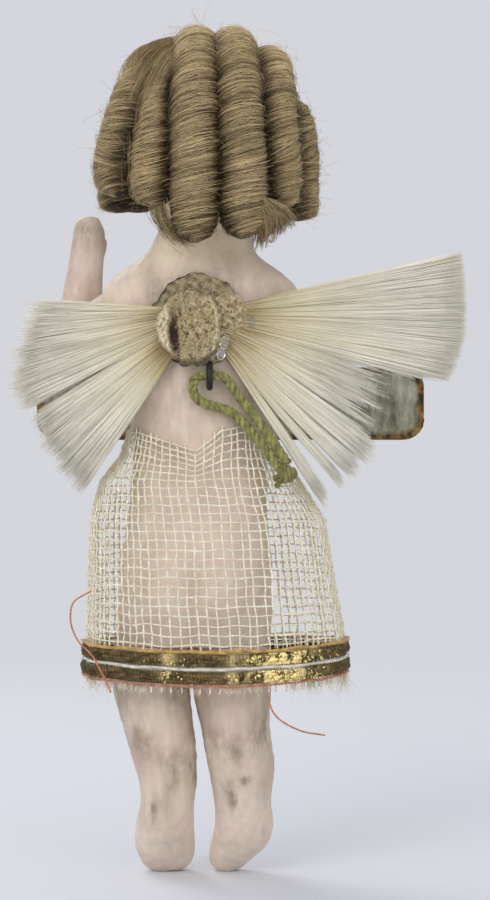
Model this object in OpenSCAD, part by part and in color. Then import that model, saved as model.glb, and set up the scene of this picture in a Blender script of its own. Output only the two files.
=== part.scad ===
// Wax angel ornament with spun-glass wings, hung by a cord from a wire eye in its back.
// +Z runs to the crown of the head, +Y out of the back and +X to the angel's own left.
// Sections below are drawn over the tips of the toes; the finished part has its origin in the wire eye.

/* [Legs] */
// Height of the hip line above the toes
leg_h = 33; // [30:0.5:36]
// Width of a thigh
thigh_w = 10.6; // [9.6:0.1:11]
// Depth of a thigh, front to back
thigh_d = 11.4; // [10:0.1:12]
// Space between the thighs
thigh_gap = 0.6; // [0.3:0.1:1.2]
// Width of an ankle
ankle_w = 7.8; // [7:0.1:8.6]
// Depth of an ankle
ankle_d = 8.4; // [7.6:0.1:9]
// Width of a foot
foot_w = 8.6; // [7.8:0.1:9.4]
// Distance between the middles of the ankles
ankle_spread = 9.9; // [9.6:0.1:11]

/* [Trunk] */
// Height from the hip line to the line of the shoulders
trunk_h = 50; // [46:0.5:54]
// Width over the hips
hip_w = 22.2; // [21.4:0.1:23.4]
// Depth over the seat
hip_d = 16.2; // [15:0.1:17]
// Width of the waist
waist_w = 19.2; // [18:0.1:20.4]
// Depth of the waist
waist_d = 13.4; // [12.4:0.1:14.4]
// Depth of the chest
chest_d = 14.6; // [14:0.1:15.6]
// Width over the shoulders
shoulder_w = 28; // [27:0.1:29]
// Height from the shoulders to the chin
neck_h = 9.5; // [8.5:0.1:11]
// Width of the neck
neck_w = 12.6; // [11:0.1:13.6]

/* [Head] */
// Height from the chin to the crown
head_h = 21; // [19:0.1:23]
// Width of the head
head_w = 19.8; // [18:0.1:21]
// Depth of the head
head_d = 20.4; // [19:0.1:22]
// Diameter of a glass eye
eye_d = 2.6; // [2:0.1:3]
// Distance between the middles of the eyes
eye_spread = 7.6; // [6.4:0.1:8.4]

/* [Arms] */
// Diameter of an upper arm
arm_d = 8; // [7:0.1:8.6]
// Diameter of a wrist
wrist_d = 5.2; // [4.6:0.1:5.8]
// Distance of an arm's seat from the middle of the trunk
arm_seat = 11.5; // [11:0.1:12.2]

/* [Pins] */
// Diameter of the wire pins in the limbs
pin_d = 1.2; // [0.8:0.1:1.6]
// Length of a wire pin
pin_len = 9; // [6:0.5:11]
// Space around a pin in its hole
pin_clear = 0.05; // [0.03:0.01:0.1]

/* [Wig] */
// Thickness of the cloth cap
cap_t = 0.5; // [0.4:0.05:0.8]
// Diameter of the widest ringlets
curl_d = 6.5; // [5.7:0.1:6.7]
// Space between the layers of the wig
wig_gap = 0.1; // [0.08:0.01:0.2]
// Length that the two middle ringlets hang below the middle of the head
long_drop = 12; // [9:0.5:12.5]
// Length that the other ringlets hang below the middle of the head
short_drop = 6.4; // [5:0.2:8]
// How far the ringlets stand up off the crown
wig_rise = 0.8; // [0.2:0.1:1.2]

/* [Wings] */
// Diameter of the card disc
disc_d = 13.2; // [12.4:0.1:13.8]
// Thickness of the card disc
disc_t = 0.6; // [0.4:0.05:0.9]
// Depth of the flat in the back that the disc is glued to
flat_depth = 0.65; // [0.5:0.05:1]
// Space round the disc in its flat
disc_clear = 0.2; // [0.1:0.05:0.4]
// Thickness of the glued roots of the wings
root_t = 1.2; // [0.9:0.1:1.6]
// Diameter of the pad over the roots
pad_d = 10.2; // [9.4:0.1:10.8]
// Thickness of the pad
pad_t = 2.2; // [1.6:0.1:2.6]
// Longest strand of the left wing, from the middle of the disc
left_reach = 29.6; // [25:0.1:32]
// Longest strand of the right wing, from the middle of the disc
right_reach = 38.8; // [34:0.1:42]
// Columns of strands in the left wing
left_columns = 40; // [30:1:50]
// Columns of strands in the right wing
right_columns = 60; // [50:1:70]
// Layers of strands in a wing
layers = 3; // [2:1:4]
// How far the tips stand forward of the roots
wing_lean = 3; // [0:0.5:5]

/* [Hanger] */
// Diameter of the iron wire
wire_d = 0.9; // [0.7:0.05:1]
// Inside diameter of the wire eye
eye_hole = 2.4; // [2.3:0.05:2.8]
// Length of the wire shank in the trunk
shank_len = 5; // [3:0.5:7]
// Diameter of the cotton cord
cord_d = 1.4; // [1.1:0.05:1.45]
// Diameter of the knot in the cord's ends
knot_d = 3; // [2.6:0.1:3.2]

/* [Skirt] */
// Height of the gauze
skirt_h = 36.5; // [34:0.5:38]
// Height of the top edge above the hip line
skirt_top = 30; // [28:0.5:31]
// Width of the hem
hem_w = 35.6; // [33:0.2:39]
// Depth of the hem
hem_d = 24; // [22:0.5:27]
// Thickness of the gauze
cloth_t = 0.5; // [0.4:0.05:0.7]
// Space between the gauze and the waist
cloth_gap = 0.35; // [0.2:0.05:0.6]
// Number of folds
folds = 11; // [8:1:13]
// Depth of a fold at the hem
fold_depth = 0.7; // [0.3:0.05:0.9]

/* [Trim] */
// Height of one gold band
band_h = 1.7; // [1.3:0.1:2.1]
// Thickness of the gold bands
band_t = 0.4; // [0.3:0.05:0.6]
// Diameter of the white cord between the bands
middle_d = 0.6; // [0.4:0.05:0.9]
// Diameter of the edge threads
edge_d = 0.5; // [0.3:0.05:0.6]
// Width of the frayed edge below the trim
fray_h = 1.4; // [0.8:0.1:2.4]
// Space between the trim and what it lies on
trim_gap = 0.06; // [0.04:0.01:0.1]

/* [Banner] */
// Length of the banner
banner_len = 57; // [50:0.5:62]
// Height of the banner
banner_h = 10.8; // [9:0.1:12]
// Thickness of the banner's paper
banner_t = 0.5; // [0.4:0.05:0.7]
// How far the ends of the banner bow back
banner_bow = 6; // [4:0.25:7]
// Radius of the banner's corners
banner_r = 3; // [1:0.25:4]
// Width of the gilt border
border_w = 1.3; // [0.8:0.1:2]
// Thickness of the gilt border
border_t = 0.3; // [0.2:0.05:0.4]

/* [Hidden] */

wax = [0.90, 0.80, 0.72];
hair = [0.62, 0.52, 0.38];
glass = [0.93, 0.91, 0.83];
gauze = [0.92, 0.88, 0.76];
gold = [0.62, 0.46, 0.16];
iron = [0.12, 0.11, 0.11];

// Sides of the wax sections, of the ringlets, of the cord and of the threads in the hem
wax_sides = 28;
curl_sides = 12;
cord_sides = 8;
thread_sides = 5;
// Sides of the gauze
cloth_sides = 60;
// Enough to reach through anything that is cut
far = 60;
// Space between pieces that are seated on each other
seat_gap = 0.1;

// Heights over the toes
shoulder_z = leg_h + trunk_h;
chin_z = shoulder_z + neck_h;
crown_z = chin_z + head_h;
head_z = crown_z - 0.57 * head_h;
// The thighs lean to the angel's left and the head to its right
hip_x = 1;
ankle_x = -0.45;
head_x = -1.1;

function unit(v) = v / norm(v);
function mix(a, b, s) = a + (b - a) * s;

// Points of an oval in a level plane, from its middle and its two half widths
function oval(at, rx, ry, sides) =
  [for (i = [0:sides - 1]) let (a = 360 * i / sides) at + [rx * cos(a), ry * sin(a), 0]];

// Points of a ring round one place of a route, square to the route
function round_ring(at, along, up, rx, ry, sides) =
  let (side = unit(cross(up, along)), top = cross(along, side))
  [for (i = [0:sides - 1]) let (a = 360 * i / sides) at + side * rx * cos(a) + top * ry * sin(a)];

// Direction of a route of points at one of them
function heading(route, i) =
  unit(route[min(i + 1, len(route) - 1)] - route[max(i - 1, 0)]);

// A smooth value between the rows of a table [place, value ...]
function row_at(table, s) = [for (k = [1:len(table[0]) - 1]) lookup(s, [for (r = table) [r[0], r[k]]])];

// A solid over rings with the same number of points, with flat ends or joined end to end
module skin(rings, joined = false) {
  n = len(rings[0]);
  m = len(rings);
  last = (m - 1) * n;
  sides = [for (j = [0:m - (joined ? 1 : 2)], i = [0:n - 1])
    let (a = j * n + i, b = j * n + (i + 1) % n, k = (j + 1) % m * n)
    each [[a, k + i, b], [b, k + i, k + (i + 1) % n]]];
  ends = joined ? [] : [for (i = [1:n - 2]) each [[0, i, i + 1], [last, last + i + 1, last + i]]];
  polyhedron([for (r = rings) each r], concat(sides, ends), convexity = 8);
}

// Moves a piece from over the toes to the frame of the wire eye
module placed() {
  translate(-eye_at) children();
}

// Body: rows of [height, half width, half depth, middle in x, middle in y]
trunk_rows = [
  [leg_h, hip_w * 0.495, hip_d * 0.39, hip_x, 0],
  [leg_h + trunk_h * 0.08, hip_w * 0.5, hip_d * 0.47, hip_x * 0.9, 0.4],
  [leg_h + trunk_h * 0.19, hip_w * 0.495, hip_d * 0.5, hip_x * 0.7, 0.7],
  [leg_h + trunk_h * 0.33, mix(hip_w, waist_w, 0.55) / 2, mix(hip_d, waist_d, 0.4) / 2, hip_x * 0.5, 0.3],
  [leg_h + trunk_h * 0.48, waist_w / 2, waist_d / 2, hip_x * 0.2, 0],
  [leg_h + trunk_h * 0.62, waist_w * 0.515, waist_d / 2, 0, -0.2],
  [leg_h + trunk_h * 0.76, shoulder_w * 0.405, chest_d * 0.495, 0, -0.1],
  [leg_h + trunk_h * 0.88, shoulder_w * 0.465, chest_d / 2, 0, 0.2],
  [leg_h + trunk_h * 0.96, shoulder_w * 0.5, chest_d * 0.47, 0, 0.3],
  [shoulder_z, shoulder_w * 0.495, chest_d * 0.43, 0, 0.3],
  [shoulder_z + neck_h * 0.21, shoulder_w * 0.45, chest_d * 0.4, 0, 0.3],
  [shoulder_z + neck_h * 0.42, mix(shoulder_w, neck_w, 0.43) / 2, chest_d * 0.37, 0, 0.2],
  [shoulder_z + neck_h * 0.63, mix(shoulder_w, neck_w, 0.73) / 2, neck_w * 0.41, -0.1, 0.1],
  [shoulder_z + neck_h * 0.84, neck_w * 0.52, neck_w * 0.4, -0.4, 0],
  [chin_z, neck_w * 0.5, neck_w * 0.42, -0.8, -0.4]];

// The trunk's back at a height
function back_at(z) = let (r = row_at(trunk_rows, z)) r[1] + r[3];

// The flat that the card disc is glued to, and the stack that stands on it
hub_z = shoulder_z - 3.9;
hub = [0.4, back_at(hub_z) - flat_depth, hub_z];
root_y = hub[1] + disc_t;
pad_shift = [0.9, root_t, -0.5];
pad_at = [hub[0], root_y, hub_z] + pad_shift;

// The wire eye stands on the back just below the pad
eye_out = eye_hole / 2 + wire_d;
eye_z = pad_at[2] - pad_d / 2 - eye_out - seat_gap;
eye_back = back_at(eye_z) + seat_gap;
eye_at = [-1.4, eye_back + eye_out, eye_z];

// The head is an egg about head_z; a jaw and a small nose shape its front
head_steps = [-0.82, -0.66, -0.48, -0.3, -0.12, 0.06, 0.24, 0.42, 0.6, 0.76, 0.88, 0.96, 0.995];
head_top = crown_z - head_z;
function jaw(s) = s < 0 ? 1 - 0.25 * s * s : 1;
function nose(s, a) = 0.9 * exp(-pow((s + 0.12) / 0.1, 2)) * exp(-pow((a - 270) / 10, 2));
function head_ring(s) =
  let (r = sqrt(1 - s * s), z = head_z + s * (s < 0 ? (head_z - chin_z) * 1.15 : head_top))
  [for (i = [0:wax_sides - 1])
    let (a = 360 * i / wax_sides)
    [head_x + jaw(s) * r * cos(a) * head_w / 2, (r * head_d / 2) * sin(a) - nose(s, a), z]];

// The front of the head at a height share s and a place beside its middle
function face_y(s, x) = -sqrt(1 - s * s) * head_d / 2 * sqrt(1 - pow(x / (head_w / 2), 2));
eye_s = 0.1;
eye_sink = 0.7;
function eye_place(side) =
  [head_x + side * eye_spread / 2, face_y(eye_s, eye_spread / 2) + eye_sink, head_z + eye_s * head_top];

// An arm's seat is a flat on the shoulder; a leg's seat is the level hip line
arm_z = shoulder_z - 3;
function arm_at(side) = [side * arm_seat, 0.2, arm_z];
function thigh_x(side) = hip_x + side * (thigh_w + thigh_gap) / 2;

module arm_pin_hole(side, d) {
  translate(arm_at(side)) rotate([0, 90, 0]) cylinder(d = d, h = pin_len, center = true, $fn = 32);
}

module leg_pin_hole(side, d) {
  translate([thigh_x(side), 0, leg_h]) cylinder(d = d, h = pin_len, center = true, $fn = 32);
}

module body() {
  color(wax) placed() difference() {
    skin(concat(
      [for (r = trunk_rows) oval([r[3], r[4], r[0]], r[1], r[2], wax_sides)],
      [for (s = head_steps) head_ring(s)]));
    for (side = [-1, 1]) {
      translate([side * (arm_seat + far / 2), 0, arm_z]) cube([far, far, far / 2], center = true);
      arm_pin_hole(side, pin_d + 2 * pin_clear);
      leg_pin_hole(side, pin_d + 2 * pin_clear);
      translate(eye_place(side) + [0, eye_d / 2 + pin_clear, 0]) rotate([90, 0, 0])
        cylinder(d = eye_d + 2 * pin_clear, h = far, $fn = 32);
    }
    translate(hub) rotate([-90, 0, 0]) cylinder(d = disc_d + 2 * disc_clear, h = far, $fn = 64);
    translate([eye_at[0], eye_back + wire_d, eye_at[2]]) rotate([90, 0, 0])
      cylinder(d = wire_d + 2 * pin_clear, h = shank_len + wire_d + pin_clear, $fn = 32);
  }
}

// An arm is a run of rings from its seat to its finger tips, as places from the seat and sizes across and deep
left_arm_route = [[-1, 0, 0], [2.4, -0.6, -0.5], [5, -3, -2.2], [6.6, -6.2, -3.2], [6.8, -8.8, -1],
  [6.2, -9.8, 3], [5.7, -10, 7], [5.4, -10, 10], [5.2, -9.8, 13], [5.2, -9.6, 15]];
right_arm_route = [[1, 0, 0], [-2.4, -0.6, -0.8], [-4.1, -3.4, -4.8], [-3.7, -7.2, -8.8],
  [-1.2, -10.2, -10.8], [2, -11.6, -11.6], [4.6, -12, -12], [7, -12, -12.3]];
left_arm_size = [[arm_d * 1.3, arm_d * 1.02], [arm_d * 1.08, arm_d * 0.98], [arm_d * 0.92, arm_d * 0.9],
  [arm_d * 0.86, arm_d * 0.86], [arm_d * 0.8, arm_d * 0.8],
  [mix(arm_d, wrist_d, 0.7), mix(arm_d, wrist_d, 0.7)], [wrist_d, wrist_d], [wrist_d * 1.08, wrist_d * 0.8],
  [wrist_d * 0.98, wrist_d * 0.7], [wrist_d * 0.4, wrist_d * 0.3]];
right_arm_size = [[arm_d * 1.3, arm_d * 1.02], [arm_d * 1.08, arm_d * 0.98], [arm_d * 0.9, arm_d * 0.88],
  [arm_d * 0.84, arm_d * 0.84], [mix(arm_d, wrist_d, 0.6), mix(arm_d, wrist_d, 0.6)], [wrist_d, wrist_d],
  [wrist_d * 1.02, wrist_d * 0.8], [wrist_d * 0.4, wrist_d * 0.3]];

module arm(side, route, size, up) {
  color(wax) placed() difference() {
    skin([for (i = [0:len(route) - 1])
      round_ring(arm_at(side) + route[i], i == 0 ? [side, 0, 0] : heading(route, i), up,
        size[i][0] / 2, size[i][1] / 2, wax_sides * 0.75)]);
    arm_pin_hole(side, pin_d + 2 * pin_clear);
    translate([side * (arm_seat - far / 2), far / 2 - arm_d * 0.7, arm_z]) cube(far, center = true);
  }
}

module left_arm() { arm(1, left_arm_route, left_arm_size, [0.2, 0.9, 0.3]); }
module right_arm() { arm(-1, right_arm_route, right_arm_size, [0.1, 0.5, 0.9]); }

// Leg: rows of [height share, half width, half depth, share of the way to the ankle, middle in y]
leg_rows = [
  [0, foot_w * 0.28, 1.4, 1.08, -3.6],
  [0.045, foot_w * 0.44, 2.8, 1.08, -3],
  [0.12, foot_w * 0.5, 3.7, 1.06, -1.8],
  [0.21, foot_w * 0.49, 4.3, 1.03, -0.5],
  [0.32, ankle_w * 0.49, ankle_d * 0.5, 1, 0.5],
  [0.42, ankle_w * 0.53, ankle_d * 0.52, 0.9, 0.5],
  [0.6, mix(ankle_w, thigh_w, 0.65) / 2, mix(ankle_d, thigh_d, 0.6) / 2, 0.5, 0.3],
  [0.82, thigh_w * 0.5, thigh_d * 0.5, 0.05, 0.1],
  [1, thigh_w * 0.49, thigh_d * 0.5, 0, 0]];

module leg(side) {
  color(wax) placed() difference() {
    skin([for (r = leg_rows)
      oval([mix(thigh_x(side), ankle_x + side * ankle_spread / 2, r[3]), r[4], r[0] * leg_h],
        r[1], r[2], wax_sides)]);
    leg_pin_hole(side, pin_d + 2 * pin_clear);
  }
}

module left_leg() { leg(1); }
module right_leg() { leg(-1); }

module left_arm_pin() { color(iron) placed() arm_pin_hole(1, pin_d); }
module right_arm_pin() { color(iron) placed() arm_pin_hole(-1, pin_d); }
module left_leg_pin() { color(iron) placed() leg_pin_hole(1, pin_d); }
module right_leg_pin() { color(iron) placed() leg_pin_hole(-1, pin_d); }

module eye_bead(side) {
  color("sienna") placed() translate(eye_place(side)) sphere(d = eye_d, $fn = 32);
}

module left_eye() { eye_bead(1); }
module right_eye() { eye_bead(-1); }

// A place in the dome of ringlets over the head: share to the side, angle from the front over the crown, and
// distance out from the skin. The dome is squarer than the egg of the head.
dome_square = 0.5;
function on_head(share, angle, out) =
  let (f = sqrt(1 - share * share), top = head_top + out + wig_rise * pow(cos(angle), 2))
  [head_x + share * (head_w / 2 + out), f * (head_d / 2 + out) * sin(angle),
    head_z + pow(f, dome_square) * top * cos(angle)];

// The cap covers the crown and the back of the head, and leaves the face open
cap_steps = [0.06, 0.2, 0.4, 0.6, 0.8, 1];
rim_front = 44;
rim_back = 104;
function cap_rim(a) = mix(rim_front, rim_back, (1 + sin(a)) / 2);
function cap_ring(step, out) =
  [for (i = [0:wax_sides - 1])
    let (a = 360 * i / wax_sides, polar = step * cap_rim(a))
    [head_x + (head_w / 2 + out) * sin(polar) * cos(a), (head_d / 2 + out) * sin(polar) * sin(a),
      head_z + (head_top + out) * cos(polar)]];

module wig_cap() {
  inside = wig_gap * 2.5;
  color(hair * 0.7) placed() skin(concat(
    [for (s = cap_steps) cap_ring(s, inside)],
    [for (i = [len(cap_steps) - 1:-1:0]) cap_ring(cap_steps[i], inside + cap_t)]));
}

// Ringlets: [side share at its start, at its end, first angle, last angle, size share, drop below mid-head]
curls = [
  [0.13, 0.14, -58, 97, 1, long_drop],
  [-0.26, -0.4, -58, 97, 1, long_drop - 0.6],
  [0.53, 0.62, 48, 98, 0.84, short_drop + 0.4],
  [-0.62, -0.82, -56, 97, 0.9, short_drop + 0.4],
  [0.5, 0.955, -56, 90, 0.96, short_drop - 0.8],
  [-0.94, -0.985, 44, 86, 0.78, short_drop + 1.6],
  [0.9, 0.985, -20, -60, 0.8, short_drop],
  [-0.93, -0.962, -34, -76, 0.72, short_drop],
  [0.8, 0.8, -64, -82, 0.76, short_drop - 0.6],
  [-0.77, -0.77, -64, -84, 0.7, short_drop - 0.6]];
curl_steps = 10;
drop_steps = 4;

function curl_route(c) =
  let (out = wig_gap * 3.5 + cap_t + curl_d * c[4] / 2,
    over = [for (i = [0:curl_steps])
      on_head(mix(c[0], c[1], i / curl_steps), mix(c[2], c[3], i / curl_steps), out)],
    end = over[curl_steps],
    low = head_z - c[5])
  concat(over, [for (i = [1:drop_steps]) [end[0], end[1], mix(end[2], low, i / drop_steps)]]);

// A ringlet swells from its start, widens down the head, and closes to a blunt end
curl_rows = [[0, 0.34], [0.08, 0.66], [0.2, 0.84], [0.45, 0.92], [0.7, 1], [0.88, 1], [0.96, 0.82], [1, 0.45]];
function curl_size(s) = row_at(curl_rows, s)[0];

module ringlet(k) {
  c = curls[k - 1];
  route = curl_route(c);
  n = len(route) - 1;
  color(hair) placed() skin([for (i = [0:n])
    let (r = curl_d / 2 * c[4] * curl_size(i / n))
    round_ring(route[i], heading(route, i), [1, 0, 0], r, r, curl_sides)]);
}

module ringlet_1() { ringlet(1); }
module ringlet_2() { ringlet(2); }
module ringlet_3() { ringlet(3); }
module ringlet_4() { ringlet(4); }
module ringlet_5() { ringlet(5); }
module ringlet_6() { ringlet(6); }
module ringlet_7() { ringlet(7); }
module ringlet_8() { ringlet(8); }
module ringlet_9() { ringlet(9); }
module ringlet_10() { ringlet(10); }

module wing_disc() {
  color("tan") placed() translate(hub) rotate([-90, 0, 0]) cylinder(d = disc_d, h = disc_t, $fn = 64);
}

// A wing fans out over a share u: [u, root angle, tip angle, reach share], angles over the level
left_fan = [[0, 29, 7, 0.82], [0.15, 15, -3, 0.85], [0.4, -7, -19, 0.95], [0.58, -23, -30, 0.93],
  [0.78, -40, -42, 0.96], [1, -58, -56, 1]];
right_fan = [[0, 28, 14.5, 1], [0.14, 18, 5, 0.98], [0.26, 9, -3, 0.965], [0.43, -3, -15, 0.9],
  [0.5, -8, -20, 0.7], [0.62, -17, -29, 0.66], [0.71, -24, -35, 0.8], [1, -45, -55.5, 0.8]];
// Radius of the glued roots, how far each wing's root stays from the other, and the strands' uneven ends
root_r = disc_d / 2;
root_split = 0.5;
uneven = 0.1;
// How much thicker a wing is at its tips than at its roots
tip_spread = 1.7;

// One place in a wing: side 1 or -1, share u over the fan, share v of its thickness, share s along a strand
function wing_place(side, fan, reach, u, v, s) =
  let (f = row_at(fan, u),
    root = [cos(f[0]), 0, sin(f[0])] * root_r,
    tip = [cos(f[1]), 0, sin(f[1])] * f[2] * reach,
    p = mix(root, tip, s),
    y = (v - 0.5) * root_t * mix(1, tip_spread, s) + root_t / 2 - wing_lean * s * s)
  [hub[0] + side * p[0], root_y + y, hub[2] + p[2]];

module wing(side, fan, reach, columns) {
  nu = 2 * columns + 2;
  nv = 2 * layers + 2;
  long = rands(1 - uneven, 1, columns * layers, 7);
  apex = [for (y = [0, root_t]) [hub[0] + side * root_split, root_y + y, hub[2]]];
  wall = [for (i = [0:nu - 1], j = [0:nv - 1]) wing_place(side, fan, reach, i / (nu - 1), j / (nv - 1), 0)];
  tips = [for (i = [0:columns - 1], j = [0:layers - 1], c = [[1, 1], [2, 1], [2, 2], [1, 2]])
    wing_place(side, fan, reach, (2 * i + c[0]) / (nu - 1), (2 * j + c[1]) / (nv - 1), long[i * layers + j])];
  first_tip = 2 + len(wall);
  function at(i, j) = 2 + i * nv + j;
  gaps = [for (i = [0:nu - 2], j = [0:nv - 2]) if (i % 2 == 0 || j % 2 == 0)
    each [[at(i, j), at(i + 1, j), at(i, j + 1)], [at(i + 1, j), at(i + 1, j + 1), at(i, j + 1)]]];
  strands = [for (i = [0:columns - 1], j = [0:layers - 1])
    let (t = first_tip + 4 * (i * layers + j), a = 2 * i + 1, b = 2 * j + 1,
      base = [at(a, b), at(a + 1, b), at(a + 1, b + 1), at(a, b + 1)])
    each concat([[t, t + 1, t + 2], [t, t + 2, t + 3]],
      [for (k = [0:3]) let (l = (k + 1) % 4)
        each [[base[k], base[l], t + k], [base[l], t + l, t + k]]])];
  plates = [for (i = [0:nu - 2]) each [[0, at(i + 1, 0), at(i, 0)], [1, at(i, nv - 1), at(i + 1, nv - 1)]]];
  walls = [for (j = [0:nv - 2]) each [[0, at(0, j), at(0, j + 1)], [0, at(nu - 1, j + 1), at(nu - 1, j)]]];
  ends = [[0, at(0, nv - 1), 1], [0, 1, at(nu - 1, nv - 1)]];
  faces = concat(gaps, strands, plates, walls, ends);
  color(glass) placed() polyhedron(concat(apex, wall, tips),
    side < 0 ? faces : [for (f = faces) [f[0], f[2], f[1]]], convexity = 10);
}

module left_wing() { wing(1, left_fan, left_reach, left_columns); }
module right_wing() { wing(-1, right_fan, right_reach, right_columns); }

// The pad is lumpy: rows of [height share, radius share]
pad_rows = [[0, 0.93], [0.25, 1], [0.6, 0.97], [0.85, 0.82], [1, 0.5]];
pad_lump = 0.05;
pad_sides = 24;

module glue_pad() {
  color("wheat") placed() translate(pad_at) rotate([-90, 0, 0])
    skin([for (r = pad_rows)
      [for (i = [0:pad_sides - 1])
        let (a = 360 * i / pad_sides,
          out = pad_d / 2 * r[1] * (1 - pad_lump + pad_lump * (cos(3 * a + 40) + cos(5 * a)) / 2))
        [out * cos(a), out * sin(a), r[0] * pad_t]]]);
}

module hanging_eye() {
  ring_r = eye_hole / 2 + wire_d / 2;
  color(iron) placed() {
    translate(eye_at) rotate([0, 90, 0])
      rotate_extrude($fn = 48) translate([ring_r, 0]) circle(d = wire_d, $fn = 32);
    translate([eye_at[0], eye_back + wire_d / 2, eye_at[2]]) rotate([90, 0, 0])
      cylinder(d = wire_d, h = shank_len + wire_d / 2, $fn = 32);
  }
}

// Route of the cord from the middle of the wire eye: down one strand, through the eye, and down the other
cord_route = [[-10.9, 0.2, -12.2], [-9.6, -0.3, -10.3], [-8.4, -0.8, -8.5], [-6.9, -1.2, -6.5],
  [-5.4, -1.3, -4.5], [-4.1, -1.1, -2.9], [-3, -0.7, -1.3], [-2.1, -0.2, -0.3], [-1.1, 0, 0], [0, 0, 0],
  [1.1, 0, 0], [2, -0.1, -0.5], [2.4, -0.3, -1.6], [2, -0.6, -2.9], [0.9, -0.9, -3.8], [-0.8, -1.2, -4.3],
  [-2.6, -1.4, -4.9], [-4.1, -1.4, -6], [-5.6, -1.3, -7.6], [-7.2, -1, -9.5], [-8.5, -0.5, -11.2],
  [-9.7, 0, -13]];
knot_at = [-10.8, 0.3, -13.6];

module hanging_cord() {
  color("olivedrab") skin([for (i = [0:len(cord_route) - 1])
    round_ring(cord_route[i], heading(cord_route, i), [0.1, 1, 0.05], cord_d / 2, cord_d / 2, cord_sides)]);
}

module cord_knot() {
  color("darkolivegreen") translate(knot_at) sphere(d = knot_d, $fn = 32);
}

// Skirt: rows of [share down from the top edge, half width, half depth, middle in x, middle in y]
skirt_z = leg_h + skirt_top;
skirt_x = -2.2;
waist_x = waist_w * 0.515 + cloth_gap;
waist_y = waist_d / 2 + cloth_gap;
skirt_rows = [
  [0, waist_x, waist_y, 0, -0.2],
  [0.08, waist_x + 1, waist_y + 0.5, 0, -0.1],
  [0.18, mix(waist_x, hem_w / 2, 0.5), mix(waist_y, hem_d / 2, 0.42), 0, 0],
  [0.33, mix(waist_x, hem_w / 2, 0.82), mix(waist_y, hem_d / 2, 0.7), skirt_x * 0.45, 0.1],
  [0.64, mix(waist_x, hem_w / 2, 0.94), mix(waist_y, hem_d / 2, 0.9), skirt_x * 0.8, 0.2],
  [0.8, hem_w / 2, hem_d / 2, skirt_x, 0.2],
  [1, hem_w / 2, hem_d / 2, skirt_x, 0.2]];
skirt_steps = [0, 0.04, 0.08, 0.13, 0.18, 0.25, 0.33, 0.5, 0.7, 1];

// A ring round the skirt at a share down it, out from its inner face
function skirt_ring(share, out, lift = 0) =
  let (r = row_at(skirt_rows, share), deep = fold_depth * share)
  [for (i = [0:cloth_sides - 1])
    let (a = 360 * i / cloth_sides, o = out + deep * (1 + cos(folds * a + 60)) * 0.5)
    [r[2] + (r[0] + o) * cos(a), r[3] + (r[1] + o) * sin(a), skirt_z - share * skirt_h + lift]];

module skirt() {
  n = len(skirt_steps);
  color(gauze) placed() skin(concat(
    [for (i = [n - 1:-1:0]) skirt_ring(skirt_steps[i], cloth_t)],
    [for (s = skirt_steps) skirt_ring(s, 0)]), joined = true);
}

// Trim: heights above the bottom of the skirt
bottom_thread_z = fray_h + edge_d / 2;
lower_band_z = fray_h + edge_d + trim_gap;
middle_z = lower_band_z + band_h + trim_gap + middle_d / 2;
upper_band_z = middle_z + middle_d / 2 + trim_gap;
top_thread_z = upper_band_z + band_h + trim_gap + edge_d / 2;

function hem_share(z) = 1 - z / skirt_h;

module hem_band(z) {
  low = hem_share(z);
  high = hem_share(z + band_h);
  near = cloth_t + trim_gap;
  color(gold) placed() skin([skirt_ring(low, near + band_t), skirt_ring(high, near + band_t),
    skirt_ring(high, near), skirt_ring(low, near)], joined = true);
}

module hem_thread(z, d, paint) {
  mid = cloth_t + trim_gap + d / 2;
  color(paint) placed() skin([for (k = [0:thread_sides - 1]) let (a = 360 * k / thread_sides)
    skirt_ring(hem_share(z), mid + d / 2 * cos(a), d / 2 * sin(a))], joined = true);
}

module trim_upper_band() { hem_band(upper_band_z); }
module trim_lower_band() { hem_band(lower_band_z); }
module trim_middle_cord() { hem_thread(middle_z, middle_d, "ivory"); }
module trim_top_thread() { hem_thread(top_thread_z, edge_d, "goldenrod"); }
module trim_bottom_thread() { hem_thread(bottom_thread_z, edge_d, "orangered"); }

// The banner is a bowed strip in front of the right hand
hand_front = arm_at(-1)[1] + right_arm_route[len(right_arm_route) - 2][1] - wrist_d * 0.6;
banner_x = -4.2;
banner_drop = 15.2;
banner_z = shoulder_z - banner_drop;
banner_y = hand_front - banner_t - seat_gap;
bow_r = (pow(banner_len / 2, 2) + pow(banner_bow, 2)) / (2 * banner_bow);

module banner_outline(inset) {
  w = banner_len - 2 * inset;
  h = banner_h - 2 * inset;
  r = max(banner_r - inset, 0.3);
  rotate([90, 0, 0]) linear_extrude(far, center = true) {
    square([w - 2 * r, h], center = true);
    square([w, h - 2 * r], center = true);
    for (x = [-1, 1], y = [-1, 1]) translate([x * (w / 2 - r), y * (h / 2 - r)]) circle(r, $fn = 48);
  }
}

// A bowed wall from one distance in front of the banner's back face to another
module bowed(from, to) {
  translate([0, bow_r, 0]) difference() {
    cylinder(r = bow_r + to, h = far, center = true, $fn = 128);
    cylinder(r = bow_r + from, h = 2 * far, center = true, $fn = 128);
    translate([0, far * 2, 0]) cube(far * 4, center = true);
  }
}

module banner() {
  color([0.70, 0.70, 0.62]) placed() translate([banner_x, banner_y + banner_t, banner_z]) intersection() {
    bowed(0, banner_t);
    banner_outline(0);
  }
}

module banner_border() {
  color(gold) placed() translate([banner_x, banner_y + banner_t, banner_z]) intersection() {
    bowed(banner_t, banner_t + border_t);
    difference() {
      banner_outline(0);
      banner_outline(border_w);
    }
  }
}

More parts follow.
